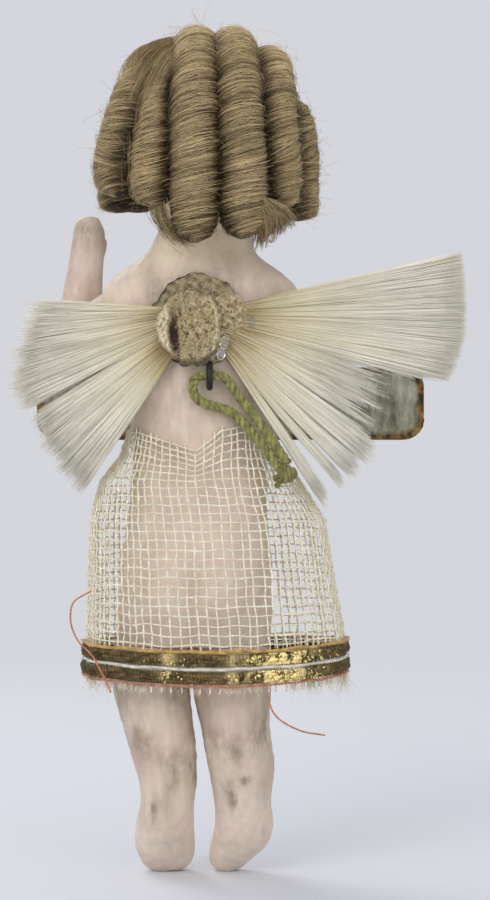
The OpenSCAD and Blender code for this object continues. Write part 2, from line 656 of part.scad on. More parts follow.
body();
left_arm();
right_arm();
left_leg();
right_leg();
left_arm_pin();
right_arm_pin();
left_leg_pin();
right_leg_pin();
left_eye();
right_eye();
wig_cap();
ringlet_1();
ringlet_2();
ringlet_3();
ringlet_4();
ringlet_5();
ringlet_6();
ringlet_7();
ringlet_8();
ringlet_9();
ringlet_10();
wing_disc();
left_wing();
right_wing();
glue_pad();
hanging_eye();
hanging_cord();
cord_knot();
skirt();
trim_upper_band();
trim_lower_band();
trim_middle_cord();
trim_top_thread();
trim_bottom_thread();
banner();
banner_border();
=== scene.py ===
"""Looks of the wax angel ornament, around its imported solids.

Shapes are worked out in millimetres over the tips of the toes, with +Z to the crown, +Y out of the back and
+X to the angel's left. The function piece turns them into metres in the frame of the wire eye.
"""

import math

import bpy
import numpy as np
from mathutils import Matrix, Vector


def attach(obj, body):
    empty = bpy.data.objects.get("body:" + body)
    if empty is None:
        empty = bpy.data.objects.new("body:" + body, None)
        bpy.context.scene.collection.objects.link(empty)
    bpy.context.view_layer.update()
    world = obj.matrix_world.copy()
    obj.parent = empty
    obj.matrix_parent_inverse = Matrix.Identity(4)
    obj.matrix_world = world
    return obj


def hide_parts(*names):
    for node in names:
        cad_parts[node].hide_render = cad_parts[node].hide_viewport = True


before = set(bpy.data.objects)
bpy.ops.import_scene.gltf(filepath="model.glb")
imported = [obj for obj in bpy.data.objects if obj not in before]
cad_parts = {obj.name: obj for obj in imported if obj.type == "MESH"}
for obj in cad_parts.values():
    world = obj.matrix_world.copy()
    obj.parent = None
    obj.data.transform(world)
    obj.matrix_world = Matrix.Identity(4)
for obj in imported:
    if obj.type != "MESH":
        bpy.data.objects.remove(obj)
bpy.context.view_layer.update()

EYE = np.array([-1.4, 9.346, 71.3])
TURN = 2 * math.pi


# Geometry


def unit(v):
    return v / (np.linalg.norm(v, axis=-1, keepdims=True) + 1e-12)


def step(low, high, x):
    """A smooth rise from 0 at low to 1 at high."""
    t = np.clip((x - low) / (high - low), 0, 1)
    return t * t * (3 - 2 * t)


def bell(x, width):
    return np.exp(-((x / width) ** 2))


def twin(x, off, width):
    """Two bells, one off to each side."""
    return bell(x - off, width) + bell(x + off, width)


def mixed(a, b, share):
    return a + (b - a) * share


def arch(t):
    """A rise from 0 to 1 and back to 0, over t from 0 to 1."""
    return np.sin(math.pi * t)


def circle(count):
    """Angles at even steps round a circle."""
    return TURN * np.arange(count) / count


def xyz(x, y, z):
    """Places or directions from their three parts."""
    return np.stack(np.broadcast_arrays(x, y, z), -1)


def outward(turn):
    """Level directions at angles round the upright axis."""
    return xyz(np.cos(turn), np.sin(turn), 0)


def swing(u, v, a):
    """Directions at angles a in a plane, on the way from u to v."""
    return u * np.cos(a)[..., None] + v * np.sin(a)[..., None]


def smooth(table, s):
    """Columns of a table [place, value ...] on a smooth line through its rows."""
    table = np.asarray(table, float)
    x, y = table[:, 0], table[:, 1:]
    slope = np.gradient(y, x, axis=0)
    k = np.clip(np.searchsorted(x, s, side="right") - 1, 0, len(x) - 2)
    h = (x[k + 1] - x[k])[..., None]
    t = np.clip((s - x[k])[..., None] / h, 0, 1)
    return (
        (2 * t**3 - 3 * t**2 + 1) * y[k]
        + (t**3 - 2 * t**2 + t) * h * slope[k]
        + (3 * t**2 - 2 * t**3) * y[k + 1]
        + (t**3 - t**2) * h * slope[k + 1]
    )


def sums(values):
    """What comes before each value in turn, and the sum of them all."""
    return np.concatenate([[0], np.cumsum(values)])


def distance(line):
    """How far each point lies along a line of points."""
    return sums(np.linalg.norm(np.diff(line, axis=0), axis=1))


def route(points, count):
    """A smooth line through points, as count points at even spacing."""
    points = np.asarray(points, float)
    far = distance(points)
    line = smooth(np.column_stack([far, points]), np.linspace(0, far[-1], 40 * count))
    far = distance(line)
    even = np.linspace(0, far[-1], count)
    return np.stack([np.interp(even, far, line[:, k]) for k in range(3)], 1)


def ripple(points, size, seed, waves=9):
    """A smooth random value from about -1 to 1 at each point, with lumps of about the given size."""
    rng = np.random.default_rng(seed)
    k = unit(rng.normal(size=(waves, 3))) * rng.uniform(0.6, 1.5, (waves, 1)) * TURN / (2 * size)
    phase = rng.uniform(0, TURN, waves)
    return np.sin(points @ k.T + phase).sum(-1) / math.sqrt(waves)


def grid(rings, count):
    """Quads over rings of count points each."""
    i = np.arange(count)
    j = np.arange(rings - 1)[:, None]
    a = j * count + i
    b = j * count + (i + 1) % count
    return np.stack([a, b, b + count, a + count], -1).reshape(-1, 4)


def loft(rings):
    """Points and faces of a solid over rings (m, n, 3) that turn left as they climb."""
    m, n = rings.shape[:2]
    low = np.arange(n)[::-1][None]
    high = np.arange(n)[None] + (m - 1) * n
    return rings.reshape(-1, 3), [grid(m, n), low, high]


def frames(paths):
    """Two directions across paths (n, m, 3), turned as little as possible."""
    along = unit(np.gradient(paths, axis=1))
    across = np.empty_like(along)
    v = np.cross(along[:, 0], [0.37, 0.61, 0.70])
    for j in range(paths.shape[1]):
        v = unit(v - (v * along[:, j]).sum(1, keepdims=True) * along[:, j])
        across[:, j] = v
    return across, np.cross(along, across)


def tubes(paths, radius, sides=3):
    """Points and faces of closed tubes along paths (n, m, 3)."""
    n, m = paths.shape[:2]
    across, up = frames(paths)
    r = np.broadcast_to(np.asarray(radius, float), (n, m))[..., None, None]
    points = paths[:, :, None] + r * swing(across[:, :, None], up[:, :, None], circle(sides))
    first = np.arange(n)[:, None] * m * sides
    sheet = (first[..., None] + grid(m, sides)[None]).reshape(-1, 4)
    low = first + np.arange(sides)[::-1]
    high = first + (m - 1) * sides + np.arange(sides)
    return points.reshape(-1, 3), [sheet, low, high]


def strands(paths, radius, tint):
    """Three-sided tubes as a mesh, and the tint of its points, given by path or by place on each path."""
    tint = np.broadcast_to(np.reshape(tint, (len(paths), -1)), paths.shape[:2])
    return tubes(paths, radius), np.repeat(tint.ravel(), 3)


def joined(parts):
    """Points and faces of several meshes as one."""
    points, faces, at = [], [], 0
    for p, f in parts:
        points.append(p)
        faces += [x + at for x in f]
        at += len(p)
    return np.concatenate(points), faces


def linked(name, data):
    """An object in the scene."""
    obj = bpy.data.objects.new(name, data)
    bpy.context.scene.collection.objects.link(obj)
    return obj


def mesh_of(name, points, faces):
    mesh = bpy.data.meshes.new(name)
    corners = np.concatenate([f.ravel() for f in faces]).astype(np.int32)
    sizes = np.concatenate([np.full(len(f), f.shape[1]) for f in faces])
    starts = sums(sizes)[:-1].astype(np.int32)
    mesh.vertices.add(len(points))
    mesh.vertices.foreach_set("co", np.asarray(points, np.float32).ravel())
    mesh.loops.add(len(corners))
    mesh.loops.foreach_set("vertex_index", corners)
    mesh.polygons.add(len(sizes))
    mesh.polygons.foreach_set("loop_start", starts)
    mesh.polygons.foreach_set("use_smooth", np.ones(len(sizes), bool))
    mesh.update(calc_edges=True)
    return mesh


def piece(name, mesh, material, slot, body="figure", replaces=None, tint=None, paint=None, origin=EYE):
    """An object of the part that rides on a body, from a mesh in millimetres."""
    points, faces = mesh
    mesh = mesh_of(name, (points - origin) / 1000, faces)
    if tint is not None:
        values = np.broadcast_to(np.ravel(tint), len(points)).astype(np.float32)
        mesh.attributes.new("tint", "FLOAT", "POINT").data.foreach_set("value", values)
    if paint is not None:
        values = np.asarray(paint, np.float32).ravel()
        mesh.attributes.new("paint", "FLOAT_COLOR", "POINT").data.foreach_set("color", values)
    obj = linked(name, mesh)
    mesh.materials.append(material)
    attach(obj, body)
    if replaces:
        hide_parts(replaces)
    return obj


def tinted(name, made, material, slot, **more):
    """A piece from several meshes, each with the tint of its points."""
    tint = np.concatenate([t for _, t in made])
    return piece(name, joined([mesh for mesh, _ in made]), material, slot, tint=tint, **more)


def dress(material, *names):
    """Gives solids that stay in view their material."""
    for name in names:
        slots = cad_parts[name].data.materials
        slots.clear()
        slots.append(material)


def fused(points, faces, voxel, rounds):
    """One closed skin over overlapping meshes, in millimetres."""
    obj = linked("fused", mesh_of("fused", points, faces))
    remesh = obj.modifiers.new("remesh", "REMESH")
    remesh.mode = "VOXEL"
    remesh.voxel_size = voxel
    calm = obj.modifiers.new("calm", "SMOOTH")
    calm.factor = 0.5
    calm.iterations = rounds
    result = obj.evaluated_get(bpy.context.evaluated_depsgraph_get()).to_mesh()
    p = np.empty(len(result.vertices) * 3)
    result.vertices.foreach_get("co", p)
    corners = np.empty(len(result.loops), int)
    result.loops.foreach_get("vertex_index", corners)
    sizes = np.empty(len(result.polygons), int)
    result.polygons.foreach_get("loop_total", sizes)
    starts = sums(sizes)[:-1]
    out = [corners[starts[sizes == k][:, None] + np.arange(k)] for k in np.unique(sizes)]
    bpy.data.objects.remove(obj)
    return p.reshape(-1, 3), out


# Materials


class Nodes:
    """Short calls for the nodes of a tree."""

    def __init__(self, tree):
        self.tree = tree

    def node(self, kind, inputs=(), **settings):
        node = self.tree.nodes.new(kind)
        for key, value in settings.items():
            setattr(node, key, value)
        for key, value in dict(inputs).items():
            if isinstance(value, bpy.types.NodeSocket):
                self.tree.links.new(value, node.inputs[key])
            else:
                node.inputs[key].default_value = value
        return node

    def math(self, operation, a, b):
        return self.node("ShaderNodeMath", {0: a, 1: b}, operation=operation).outputs[0]

    def show(self, source, output):
        """Sends a shader to the tree's output node."""
        self.tree.links.new(source, self.tree.nodes[output].inputs["Surface"])


class Paint(Nodes):
    """A material with one Principled shader, whose sockets are set by name or by nodes."""

    def __init__(self, name, **sockets):
        self.material = bpy.data.materials.new(name)
        self.material.use_nodes = True
        super().__init__(self.material.node_tree)
        self.shader = self.tree.nodes["Principled BSDF"]
        for key, value in sockets.items():
            self.shader.inputs[key.replace("_", " ").title().replace("Ior", "IOR")].default_value = value
        self.where = self.node("ShaderNodeTexCoord").outputs["Object"]

    def noise(self, size, detail=3, rough=0.55, stretch=None):
        """Noise with lumps of a size in millimetres, drawn out where stretch says so."""
        where = self.where
        if stretch is not None:
            where = self.node("ShaderNodeMapping", {"Vector": where, "Scale": stretch}).outputs[0]
        inputs = {"Vector": where, "Scale": 1000 / size, "Detail": detail, "Roughness": rough}
        return self.node("ShaderNodeTexNoise", inputs).outputs["Fac"]

    def cells(self, size):
        """Distance from the middle of the nearest cell, with cells of a size in millimetres."""
        inputs = {"Vector": self.where, "Scale": 1000 / size}
        return self.node("ShaderNodeTexVoronoi", inputs).outputs["Distance"]

    def tint(self):
        return self.node("ShaderNodeAttribute", attribute_name="tint").outputs["Fac"]

    def ramp(self, fac, *stops):
        """Colours at places of a value, as (place, colour)."""
        node = self.node("ShaderNodeValToRGB", {"Fac": fac})
        ramp = node.color_ramp
        while len(ramp.elements) < len(stops):
            ramp.elements.new(0.5)
        for element, (at, color) in zip(ramp.elements, stops):
            element.position = at
            element.color = (*color, 1)
        return node.outputs["Color"]

    def grey(self, fac, *stops):
        return self.ramp(fac, *[(at, (v, v, v)) for at, v in stops])

    def mix(self, fac, a, b, blend="MIX"):
        a, b = ((*color, 1) if isinstance(color, tuple) else color for color in (a, b))
        node = self.node("ShaderNodeMix", {0: fac, 6: a, 7: b}, data_type="RGBA", blend_type=blend)
        return node.outputs[2]

    def set(self, socket, source):
        self.tree.links.new(source, self.shader.inputs[socket])

    def bump(self, height, depth, strength=1.0):
        """Bumps of a depth in millimetres."""
        inputs = {"Height": height, "Distance": depth / 1000, "Strength": strength}
        self.set("Normal", self.node("ShaderNodeBump", inputs).outputs[0])


def wax_paint():
    """Wax in pink and yellow patches, darker by the alpha of paint (dirt, and painted shade on the legs),
    paler by tint above 0 (painted light) and yellower by tint below 0 (the wax's own yellow and painted
    light).
    """
    p = Paint(
        "wax",
        subsurface_weight=0.25,
        subsurface_scale=0.0012,
        subsurface_radius=(1.0, 0.45, 0.3),
        specular_ior_level=0.4,
    )
    ivory = ((0.3, (0.61, 0.48, 0.375)), (0.52, (0.68, 0.56, 0.445)), (0.72, (0.73, 0.63, 0.525)))
    tone = p.ramp(p.noise(7, 4), *ivory)
    tone = p.mix(p.grey(p.noise(6), (0.5, 0), (0.66, 0.6)), tone, (0.70, 0.52, 0.45))
    tone = p.mix(p.grey(p.noise(8, 4, 0.6, (1, 1, 0.6)), (0.5, 0), (0.7, 0.5)), tone, (0.62, 0.53, 0.36))
    streaks = p.grey(p.noise(1.6, 5, 0.6, (1, 1, 0.22)), (0.32, 0.84), (0.62, 1.0))
    tone = p.mix(1.0, tone, streaks, "MULTIPLY")

    painted = p.node("ShaderNodeAttribute", attribute_name="paint").outputs
    lips, blush, brow = p.node("ShaderNodeSeparateColor", {"Color": painted["Color"]}).outputs
    dirt_and_shade = painted["Alpha"]
    smudge = p.grey(p.noise(4.5, 6, 0.65, (1, 1, 0.5)), (0.42, 0), (0.66, 1))
    # The alpha of paint darkens the wax towards the dirt colour: real dirt, and on the legs also painted
    # shade under the hem.
    darkening = p.math("MULTIPLY", smudge, p.math("ADD", p.math("MULTIPLY", dirt_and_shade, 0.8), 0.06))
    patchy = p.grey(p.noise(0.9, 5, 0.7, (1, 1, 0.6)), (0.36, 0.1), (0.6, 0.8))
    darkening = p.math("ADD", darkening, p.math("MULTIPLY", p.math("POWER", dirt_and_shade, 3.0), patchy))
    color = p.mix(darkening, tone, (0.23, 0.17, 0.115))
    specks = p.grey(p.cells(1.3), (0.0, 1), (0.08, 0))
    color = p.mix(p.math("MULTIPLY", specks, p.math("ADD", dirt_and_shade, 0.15)), color, (0.22, 0.15, 0.10))
    # Tint above 0 lightens the wax towards a pale colour as painted light; tint below 0 turns it bright
    # yellow, partly the wax's own yellow and partly painted light.
    for share, shade in ((0.5, (0.93, 0.80, 0.70)), (-0.5, (0.95, 0.80, 0.53))):
        color = p.mix(p.math("MULTIPLY", p.tint(), share), color, shade)
    make_up = (blush, (0.76, 0.36, 0.29)), (lips, (0.55, 0.15, 0.13)), (brow, (0.24, 0.15, 0.08))
    for mask, shade in make_up:
        color = p.mix(mask, color, shade)
    p.set("Base Color", color)
    p.set("Roughness", p.grey(p.noise(2.2, 4), (0.3, 0.42), (0.7, 0.62)))
    p.bump(p.noise(1.4, 5, 0.6), 0.09, 0.7)
    return p.material


def strand_paint(name, stops, patch_size, patch, **sockets):
    """Hair or glass, coloured by its tint, in patches of two strengths."""
    p = Paint(name, **sockets)
    shade = p.ramp(p.tint(), *stops)
    patches = p.grey(p.noise(patch_size), (0.3, patch[0]), (0.7, patch[1]))
    p.set("Base Color", p.mix(1.0, shade, patches, "MULTIPLY"))
    return p.material


def glue_paint(name, dark, low, high, light):
    """Dried glue, by a tint of 0.5, with lighter crust over it and, under it, a dark colour that paints
    shade in hollows.
    """
    p = Paint(name)
    tone = p.ramp(p.noise(0.9, 6, 0.7), (0.3, low), (0.7, high))
    shade = p.tint()
    tone = p.mix(p.grey(shade, (0.02, 1), (0.46, 0)), tone, dark)
    p.set("Base Color", p.mix(p.grey(shade, (0.54, 0), (0.95, 1)), tone, light))
    p.set("Roughness", p.grey(p.noise(0.8), (0.35, 0.6), (0.65, 0.92)))
    p.bump(p.noise(0.4, 6, 0.7), 0.22, 0.8)
    return p.material


def plain_paint(name, low, high, size, rough, depth=0.0, **sockets):
    """A material between two colours, with bumps of a depth in millimetres."""
    p = Paint(name, **sockets)
    grain = p.noise(size, 5, 0.65)
    p.set("Base Color", p.ramp(grain, (0.32, low), (0.68, high)))
    p.set("Roughness", p.grey(p.noise(size * 2), (0.3, rough - 0.08), (0.7, rough + 0.08)))
    if depth:
        p.bump(grain, depth)
    return p.material


def thread_paint(name, low, high, rough=0.85):
    p = Paint(name, roughness=rough, sheen_weight=0.25, sheen_roughness=0.4)
    p.set("Base Color", p.ramp(p.tint(), (0.0, low), (1.0, high)))
    p.bump(p.noise(0.12), 0.03)
    return p.material


def braid_paint():
    """Tarnished braid, with bright leaf left where tint says so."""
    p = Paint("gold_braid", metallic=0.85)
    worn = p.ramp(
        p.noise(0.9, 5, 0.7, (0.5, 0.5, 1.6)),
        (0.36, (0.045, 0.032, 0.013)),
        (0.54, (0.12, 0.085, 0.036)),
        (0.70, (0.24, 0.175, 0.07)),
        (0.84, (0.50, 0.39, 0.18)),
    )
    left = p.grey(p.noise(2.4, 5, 0.66, (1, 1, 0.8)), (0.47, 0), (0.51, 1))
    p.set("Base Color", p.mix(p.math("MULTIPLY", p.tint(), left), worn, (0.95, 0.76, 0.36)))
    p.set("Roughness", p.grey(p.noise(0.6), (0.3, 0.36), (0.7, 0.58)))
    p.bump(p.noise(0.3, 3, 0.6, (1, 1, 0.35)), 0.05, 0.8)
    return p.material


def paper_paint():
    """Mottled paper, browned along the edge, from which tint counts."""
    p = Paint("aged_paper", roughness=0.9)
    mottle = ((0.34, (0.14, 0.135, 0.09)), (0.5, (0.36, 0.36, 0.27)), (0.66, (0.60, 0.60, 0.50)))
    tone = p.ramp(p.noise(2.4, 6, 0.7, (1, 1, 0.45)), *mottle)
    tone = p.mix(p.grey(p.noise(2.5, 5, 0.65), (0.56, 0), (0.72, 0.7)), tone, (0.20, 0.15, 0.08))
    rim = p.math("ADD", p.tint(), p.math("MULTIPLY", p.noise(1.2, 4), 0.16))
    brown = p.ramp(p.noise(1.5, 4), (0.4, (0.05, 0.03, 0.012)), (0.62, (0.33, 0.20, 0.06)))
    p.set("Base Color", p.mix(p.grey(rim, (0.2, 1), (0.33, 0)), tone, brown))
    p.bump(p.noise(0.35, 4, 0.6), 0.05)
    return p.material


WAX = wax_paint()
MOHAIR = ((0.0, (0.028, 0.017, 0.008)), (0.45, (0.31, 0.218, 0.103)), (1.0, (0.76, 0.60, 0.33)))
HAIR = strand_paint(
    "mohair", MOHAIR, patch_size=3.5, patch=(0.78, 1.12), roughness=0.5, specular_ior_level=0.35
)
CAP = plain_paint("cap_cloth", (0.05, 0.035, 0.02), (0.12, 0.085, 0.045), size=0.5, rough=0.9, depth=0.05)
SPUN = (
    (0.05, (0.30, 0.22, 0.10)),
    (0.25, (0.56, 0.47, 0.27)),
    (0.5, (0.80, 0.73, 0.54)),
    (0.8, (0.92, 0.88, 0.76)),
)
GLASS = strand_paint(
    "spun_glass", SPUN, patch_size=4, patch=(0.95, 1.02), roughness=0.55, ior=1.45, specular_ior_level=0.25
)
GLUE = glue_paint(
    "dried_glue", (0.05, 0.028, 0.02), (0.25, 0.18, 0.08), (0.48, 0.39, 0.215), (0.70, 0.63, 0.43)
)
CRUST = glue_paint(
    "crusted_card", (0.035, 0.022, 0.014), (0.30, 0.23, 0.12), (0.48, 0.40, 0.235), (0.66, 0.58, 0.40)
)
CLEAR = plain_paint(
    "clear_glue", (0.9, 0.88, 0.82), (0.97, 0.96, 0.93), size=1.0, rough=0.12, transmission_weight=0.9,
    ior=1.48,
)
IRON = plain_paint(
    "black_iron", (0.012, 0.012, 0.014), (0.05, 0.042, 0.035), size=0.5, rough=0.5, depth=0.03, metallic=0.7
)
CORD = thread_paint("green_cotton", (0.06, 0.058, 0.014), (0.33, 0.31, 0.095))
GAUZE = thread_paint("gauze_thread", (0.66, 0.58, 0.40), (0.88, 0.83, 0.68))
BRAID = braid_paint()
FLAKE = plain_paint("gold_flake", (0.62, 0.46, 0.13), (0.95, 0.80, 0.36), size=0.8, rough=0.22, metallic=1.0)
WHITE = thread_paint("white_cotton", (0.48, 0.43, 0.34), (0.78, 0.74, 0.66))
OCHRE = thread_paint("ochre_silk", (0.30, 0.16, 0.03), (0.64, 0.40, 0.10), rough=0.55)
RED = thread_paint("orange_cotton", (0.36, 0.11, 0.05), (0.62, 0.28, 0.16))
PAPER = paper_paint()
GILT = plain_paint(
    "worn_gilt", (0.06, 0.035, 0.015), (0.46, 0.32, 0.10), size=1.6, rough=0.5, depth=0.04, metallic=0.6
)
BEAD = plain_paint(
    "eye_bead", (0.012, 0.008, 0.006), (0.03, 0.018, 0.012), size=1.0, rough=0.12, coat_weight=1.0
)


# Camera, at the photograph's angle: square to the back

camera = linked("camera", bpy.data.cameras.new("camera"))
camera.data.sensor_fit = "VERTICAL"
camera.data.sensor_height = 36
camera.data.lens = 102
camera.data.clip_start = 0.01
camera.location = (-0.00495, 0.35665, -0.0104)
camera.rotation_euler = (math.pi / 2, 0, math.pi)
bpy.context.scene.camera = camera


# Hanging cord: the route of the solid in the frame of the eye, in millimetres

CORD_D = 1.4
CORD_ROUTE = [
    (-10.9, 0.2, -12.2), (-9.6, -0.3, -10.3), (-8.4, -0.8, -8.5), (-6.9, -1.2, -6.5), (-5.4, -1.3, -4.5),
    (-4.1, -1.1, -2.9), (-3, -0.7, -1.3), (-2.1, -0.2, -0.3), (-1.1, 0, 0), (0, 0, 0), (1.1, 0, 0),
    (2, -0.1, -0.5), (2.4, -0.3, -1.6), (2, -0.6, -2.9), (0.9, -0.9, -3.8), (-0.8, -1.2, -4.3),
    (-2.6, -1.4, -4.9), (-4.1, -1.4, -6), (-5.6, -1.3, -7.6), (-7.2, -1, -9.5), (-8.5, -0.5, -11.2),
    (-9.7, 0, -13),
]
KNOT = np.array([-10.8, 0.3, -13.6])
KNOT_TURNS, KNOT_LONG, KNOT_TALL, KNOT_DEEP = 2.2, 1.5, 0.86, 0.8
# Way out to the middle of a ply and its radius, in shares of the thread's size
PLY_OUT, PLY_R = 0.25, 0.27


def plies(line, size, count, pitch, sides=7):
    """Twisted plies round a line of points, as a mesh and the tint of its points."""
    far = distance(line)
    across, up = (v[0] for v in frames(line[None]))
    parts, tint = [], []
    for k in range(count):
        path = line + size * PLY_OUT * swing(across, up, TURN * (far / pitch + k / count))
        parts.append(tubes(path[None], size * PLY_R, sides))
        tint.append(np.full(len(parts[-1][0]), 0.45 + 0.12 * k))
    return joined(parts), np.concatenate(tint)


def fuzz(line, size, count, reach, seed, thick=0.02):
    """Fine hairs that stand out of a thread."""
    rng = np.random.default_rng(seed)
    at = rng.integers(1, len(line) - 1, count)
    along = unit(np.gradient(line, axis=0))[at]
    out = unit(np.cross(along, rng.normal(size=(count, 3))))
    far = reach * rng.uniform(0.3, 1, (count, 1, 1))
    t = np.linspace(0, 1, 5)[None, :, None]
    bend = rng.normal(size=(count, 1, 3)) * 0.45
    lean = along[:, None] * rng.uniform(-1, 1, (count, 1, 1))
    start = line[at][:, None] + out[:, None] * size * 0.42
    path = start + far * t * (out[:, None] + lean) + far * bend * t**2
    return tubes(path, thick * (1.2 - t[..., 0]))


def hanging_cord():
    line = route(CORD_ROUTE, 260)
    look = {"material": CORD, "slot": "green_cord", "body": "hanger", "origin": 0}
    mesh, tint = plies(line, CORD_D, count=3, pitch=3.3)
    shade = tint + 0.25 * ripple(mesh[0], 0.5, 3)
    cord = piece("cord", mesh, replaces="hanging_cord", tint=shade, **look)
    nap = fuzz(line, CORD_D, count=260, reach=0.45, seed=5)
    hairs = piece("cord_fuzz", nap, tint=0.85, **look)

    turns = np.linspace(0, 1, 90)
    across = unit(np.array([0.75, 0.1, -0.65]))
    tall = unit(np.cross([0, 1, 0], across))
    deep = np.cross(across, tall)
    wrap = (
        KNOT
        + np.outer((turns - 0.5) * KNOT_LONG, across)
        + np.outer(np.sin(TURN * KNOT_TURNS * turns) * KNOT_TALL, tall)
        + np.outer(np.cos(TURN * KNOT_TURNS * turns) * KNOT_DEEP, deep)
    )
    made = [plies(wrap, size=1.15, count=3, pitch=2.8, sides=6)]
    for shift, reach in ((0.25, 1.9), (-0.3, 1.4)):
        end = KNOT + across * 0.5 + tall * shift
        tail = [end, end + across * reach * 0.5 - deep * 0.1, end + across * reach + tall * shift]
        made.append(plies(route(tail, 20), size=0.95, count=3, pitch=2.4, sides=6))
    darker = [(mesh, tint - 0.15) for mesh, tint in made]
    knot = tinted("cord_knot_tied", darker, replaces="cord_knot", **look)


hanging_cord()


# Wax figure

# Driving sizes, as in the solids
LEG_H, TRUNK_H, NECK_H, HEAD_H = 33, 50, 9.5, 21
HIP_W, HIP_D, WAIST_W, WAIST_D = 22.2, 16.2, 19.2, 13.4
SHOULDER_W, CHEST_D, NECK_W = 28, 14.6, 12.6
SHOULDER_Z = LEG_H + TRUNK_H
CHIN_Z = SHOULDER_Z + NECK_H
# Half sizes of the head: below and above its middle, across, deep
HEAD_LOW, HEAD_TOP, HEAD_W, HEAD_D = 10.385, 0.57 * HEAD_H, 9.9, 10.2
HEAD = np.array([-1.1, 0, CHIN_Z + HEAD_H - HEAD_TOP])
# Where the rings of the neck begin to follow the head
NECK_Z = 92
# Place of an eye beside the middle of the face, and its height
EYE_X, EYE_Z = 3.8, 102.73
# Middle of the wings on the back
HUB = np.array([0.4, 6.6725, SHOULDER_Z - 3.9])
# Trunk and neck: rows of height, half width, half depth, middle in x and in y
TRUNK = [
    (LEG_H, 0.495 * HIP_W, 0.39 * HIP_D, 1, 0),
    (37, 0.5 * HIP_W, 0.47 * HIP_D, 0.9, 0.4),
    (42.5, 0.495 * HIP_W, 0.5 * HIP_D, 0.7, 0.7),
    (49.5, mixed(HIP_W, WAIST_W, 0.55) / 2, mixed(HIP_D, WAIST_D, 0.4) / 2, 0.5, 0.3),
    (57, 0.5 * WAIST_W, 0.5 * WAIST_D, 0.2, 0),
    (64, 0.515 * WAIST_W, 0.5 * WAIST_D, 0, -0.2),
    (71, 0.405 * SHOULDER_W, 0.495 * CHEST_D, 0, -0.1),
    (77, 0.465 * SHOULDER_W, 0.5 * CHEST_D, 0, 0.2),
    (81, 14.3, 0.47 * CHEST_D, 0, 0.3),
    (SHOULDER_Z, 14.1, 0.43 * CHEST_D, 0, 0.3),
    (85, 13.0, 0.4 * CHEST_D, 0, 0.3),
    (87, 10.7, 0.37 * CHEST_D, 0, 0.2),
    (88, 9.2, 5.28, 0, 0.15),
    (89, 8.0, 0.41 * NECK_W, -0.1, 0.1),
    (91, 7.1, 0.4 * NECK_W, -0.4, 0),
    (CHIN_Z, 6.8, 5.1, -0.8, -0.2),
    (96, 6.0, 5.2, -1.1, 0),
    (99, 5.0, 4.6, -1.1, 0),
]
# Face, from nose to cheeks: rows of rise, place to each side, half width, height, half height
FACE = [
    (1.25, 0, 0.85, 100.2, 0.95),
    (0.55, 0, 0.75, 102.0, 1.5),
    (0.35, 0.8, 0.5, 99.8, 0.5),
    (0.45, 0, 1.55, 97.75, 0.38),
    (0.5, 0, 1.3, 96.75, 0.42),
    (-0.32, 0, 1.7, 97.25, 0.16),
    (-0.25, 0, 1.4, 95.9, 0.4),
    (0.75, 0, 2.0, 94.6, 1.1),
    (0.45, 4.6, 2.2, 99.2, 2.0),
]
BROW_Z = 105


def edge_of(centre, ellipse, a):
    """Distance from a centre to an ellipse (middle x and y, half width, half depth) at angles a."""
    dx = ((centre[0] - ellipse[0]) / ellipse[2])[:, None]
    dy = ((centre[1] - ellipse[1]) / ellipse[3])[:, None]
    ux = np.cos(a) / ellipse[2][:, None]
    uy = np.sin(a) / ellipse[3][:, None]
    square = ux**2 + uy**2
    half = dx * ux + dy * uy
    rest = dx**2 + dy**2 - 1
    return np.where(rest < 0, (np.sqrt(np.maximum(half**2 - square * rest, 0)) - half) / square, 0)


def grown(a, b, soft):
    """The larger of two values, with a soft join."""
    h = np.clip(0.5 + 0.5 * (a - b) / soft, 0, 1)
    return b + (a - b) * h + soft * h * (1 - h)


def body_rings(z, a):
    """Rings of the trunk and the head, joined at the neck, without face or back."""
    w, d, tx, ty = smooth(TRUNK, z).T
    s = np.where(z < HEAD[2], (z - HEAD[2]) / HEAD_LOW, (z - HEAD[2]) / HEAD_TOP)
    r = np.sqrt(np.clip(1 - s**2, 1e-4, None))
    jaw = np.where(s < 0, 1 - 0.25 * s**2, 1)
    part = step(NECK_Z, 97, z)
    cx = mixed(tx, HEAD[0], part)
    cy = ty * (1 - part)
    trunk = edge_of((cx, cy), (tx, ty, w, d), a) * (1 - step(96, 99, z))[:, None]
    skull = (np.full_like(z, HEAD[0]), np.zeros_like(z), r * jaw * HEAD_W, r * HEAD_D)
    head = np.where(z[:, None] > HEAD[2] - HEAD_LOW, edge_of((cx, cy), skull, a), 0)
    reach = np.where(z[:, None] > 90.5, grown(trunk, head, 0.9), trunk)
    return cx[:, None] + reach * np.cos(a), cy[:, None] + reach * np.sin(a)


